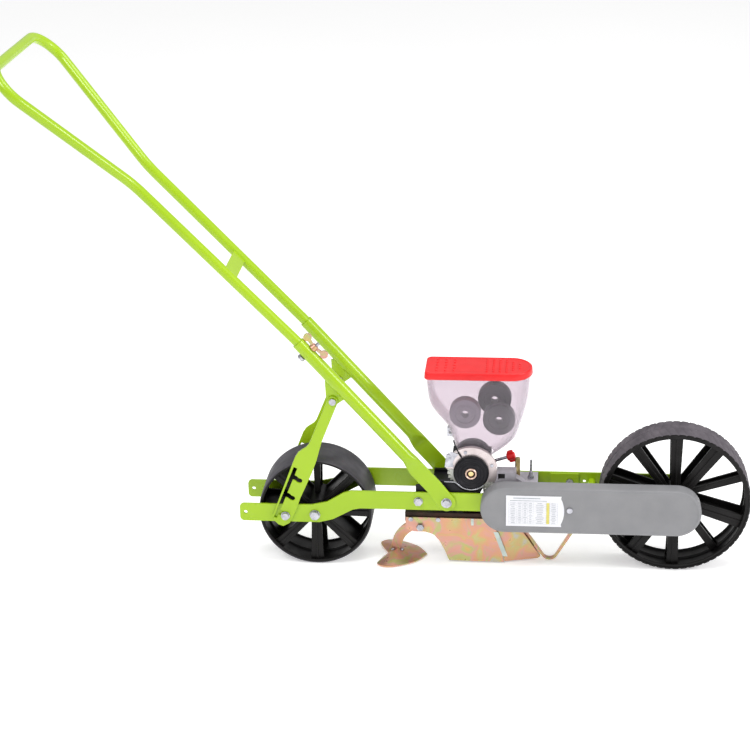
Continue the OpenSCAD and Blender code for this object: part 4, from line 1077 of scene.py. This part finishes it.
def wing_nut():
    """A nut with two round ears, pointing up."""
    hub = revolve([(3.1, 0), (7.4, 0), (7.9, 1), (6.2, 8.4), (5.4, 9), (3.1, 9)], 0, 0, 40)
    ear = [(4, 1.5), (12, 3.2), (17, 3.5), *arc(22, 8, 7.8, -110, 170, 16), (11, 9), (4, 7)]
    left_ear = [(-x, z) for x, z in reversed(ear)]
    ears = join(slab(ear, -2.2, 2.2), slab(left_ear, -2.2, 2.2))
    return join(along(hub, (0, 0, 0), (0, 0, 1)), ears)


turn = Vector((0, 0, 1)).rotation_difference(clamp_way).to_matrix().to_4x4()
make("clamp_wing_nut", moved(wing_nut(), Matrix.Translation(clamp_foot) @ turn), "clamp_wing",
     ZINC,
     ("clamp_wing_nut",), bevel=0.6)

# ---- studio ----

floor_mat = surface("floor", [(0.3, (0.90, 0.90, 0.90)), (0.7, (0.93, 0.93, 0.93))], 0.6, (0.6, 0.7))
floor_shader = floor_mat.node_tree.nodes["Principled BSDF"]
floor_shader.inputs["Emission Color"].default_value = (1.0, 1.0, 1.0, 1.0)
floor_shader.inputs["Emission Strength"].default_value = 0.38
bpy.ops.mesh.primitive_plane_add(size=60, location=(0, 0, -0.0005))
floor = bpy.context.object
floor.name = "floor"
floor.data.materials.append(floor_mat)

world = bpy.data.worlds.new("studio")
bpy.context.scene.world = world
world.use_nodes = True
world.node_tree.nodes["Background"].inputs["Color"].default_value = (1.0, 1.0, 1.0, 1.0)
world.node_tree.nodes["Background"].inputs["Strength"].default_value = 0.56


def area_light(name, location, target, size, power):
    """A square lamp aimed at a point."""
    data = bpy.data.lights.new(name, "AREA")
    data.shape = "SQUARE"
    data.size = size
    data.energy = power
    lamp = bpy.data.objects.new(name, data)
    lamp.location = location
    lamp.rotation_euler = (Vector(target) - Vector(location)).to_track_quat("-Z", "Y").to_euler()
    bpy.context.scene.collection.objects.link(lamp)


area_light("key", (-1.4, -2.2, 3.4), (0, 0, 0.3), 1.2, 62)
area_light("top", (0.9, 0.4, 3.6), (0.1, 0, 0.2), 1.6, 44)
area_light("side", (3.2, -0.9, 1.9), (-0.2, 0, 0.4), 1.0, 52)

camera_data = bpy.data.cameras.new("camera")
camera_data.sensor_width = 36
camera_data.lens = 91.3248
camera_data.clip_start, camera_data.clip_end = 0.05, 60
camera = bpy.data.objects.new("camera", camera_data)
camera_at = Vector((0.3016, -3.25075, 1.7115))
azimuth, elevation, roll_angle = (math.radians(a) for a in (5.823, 22.269, -1.19))
away = Vector((math.sin(azimuth) * math.cos(elevation), -math.cos(azimuth) * math.cos(elevation),
               math.sin(elevation)))
level = Vector((math.cos(azimuth), math.sin(azimuth), 0))
upward = away.cross(level)
right = level * math.cos(roll_angle) + upward * math.sin(roll_angle)
top_way = -level * math.sin(roll_angle) + upward * math.cos(roll_angle)
camera.matrix_world = Matrix.Translation(camera_at) @ Matrix((right, top_way, away)).transposed().to_4x4()
bpy.context.scene.collection.objects.link(camera)
bpy.context.scene.camera = camera
bpy.context.scene.view_settings.view_transform = "Standard"
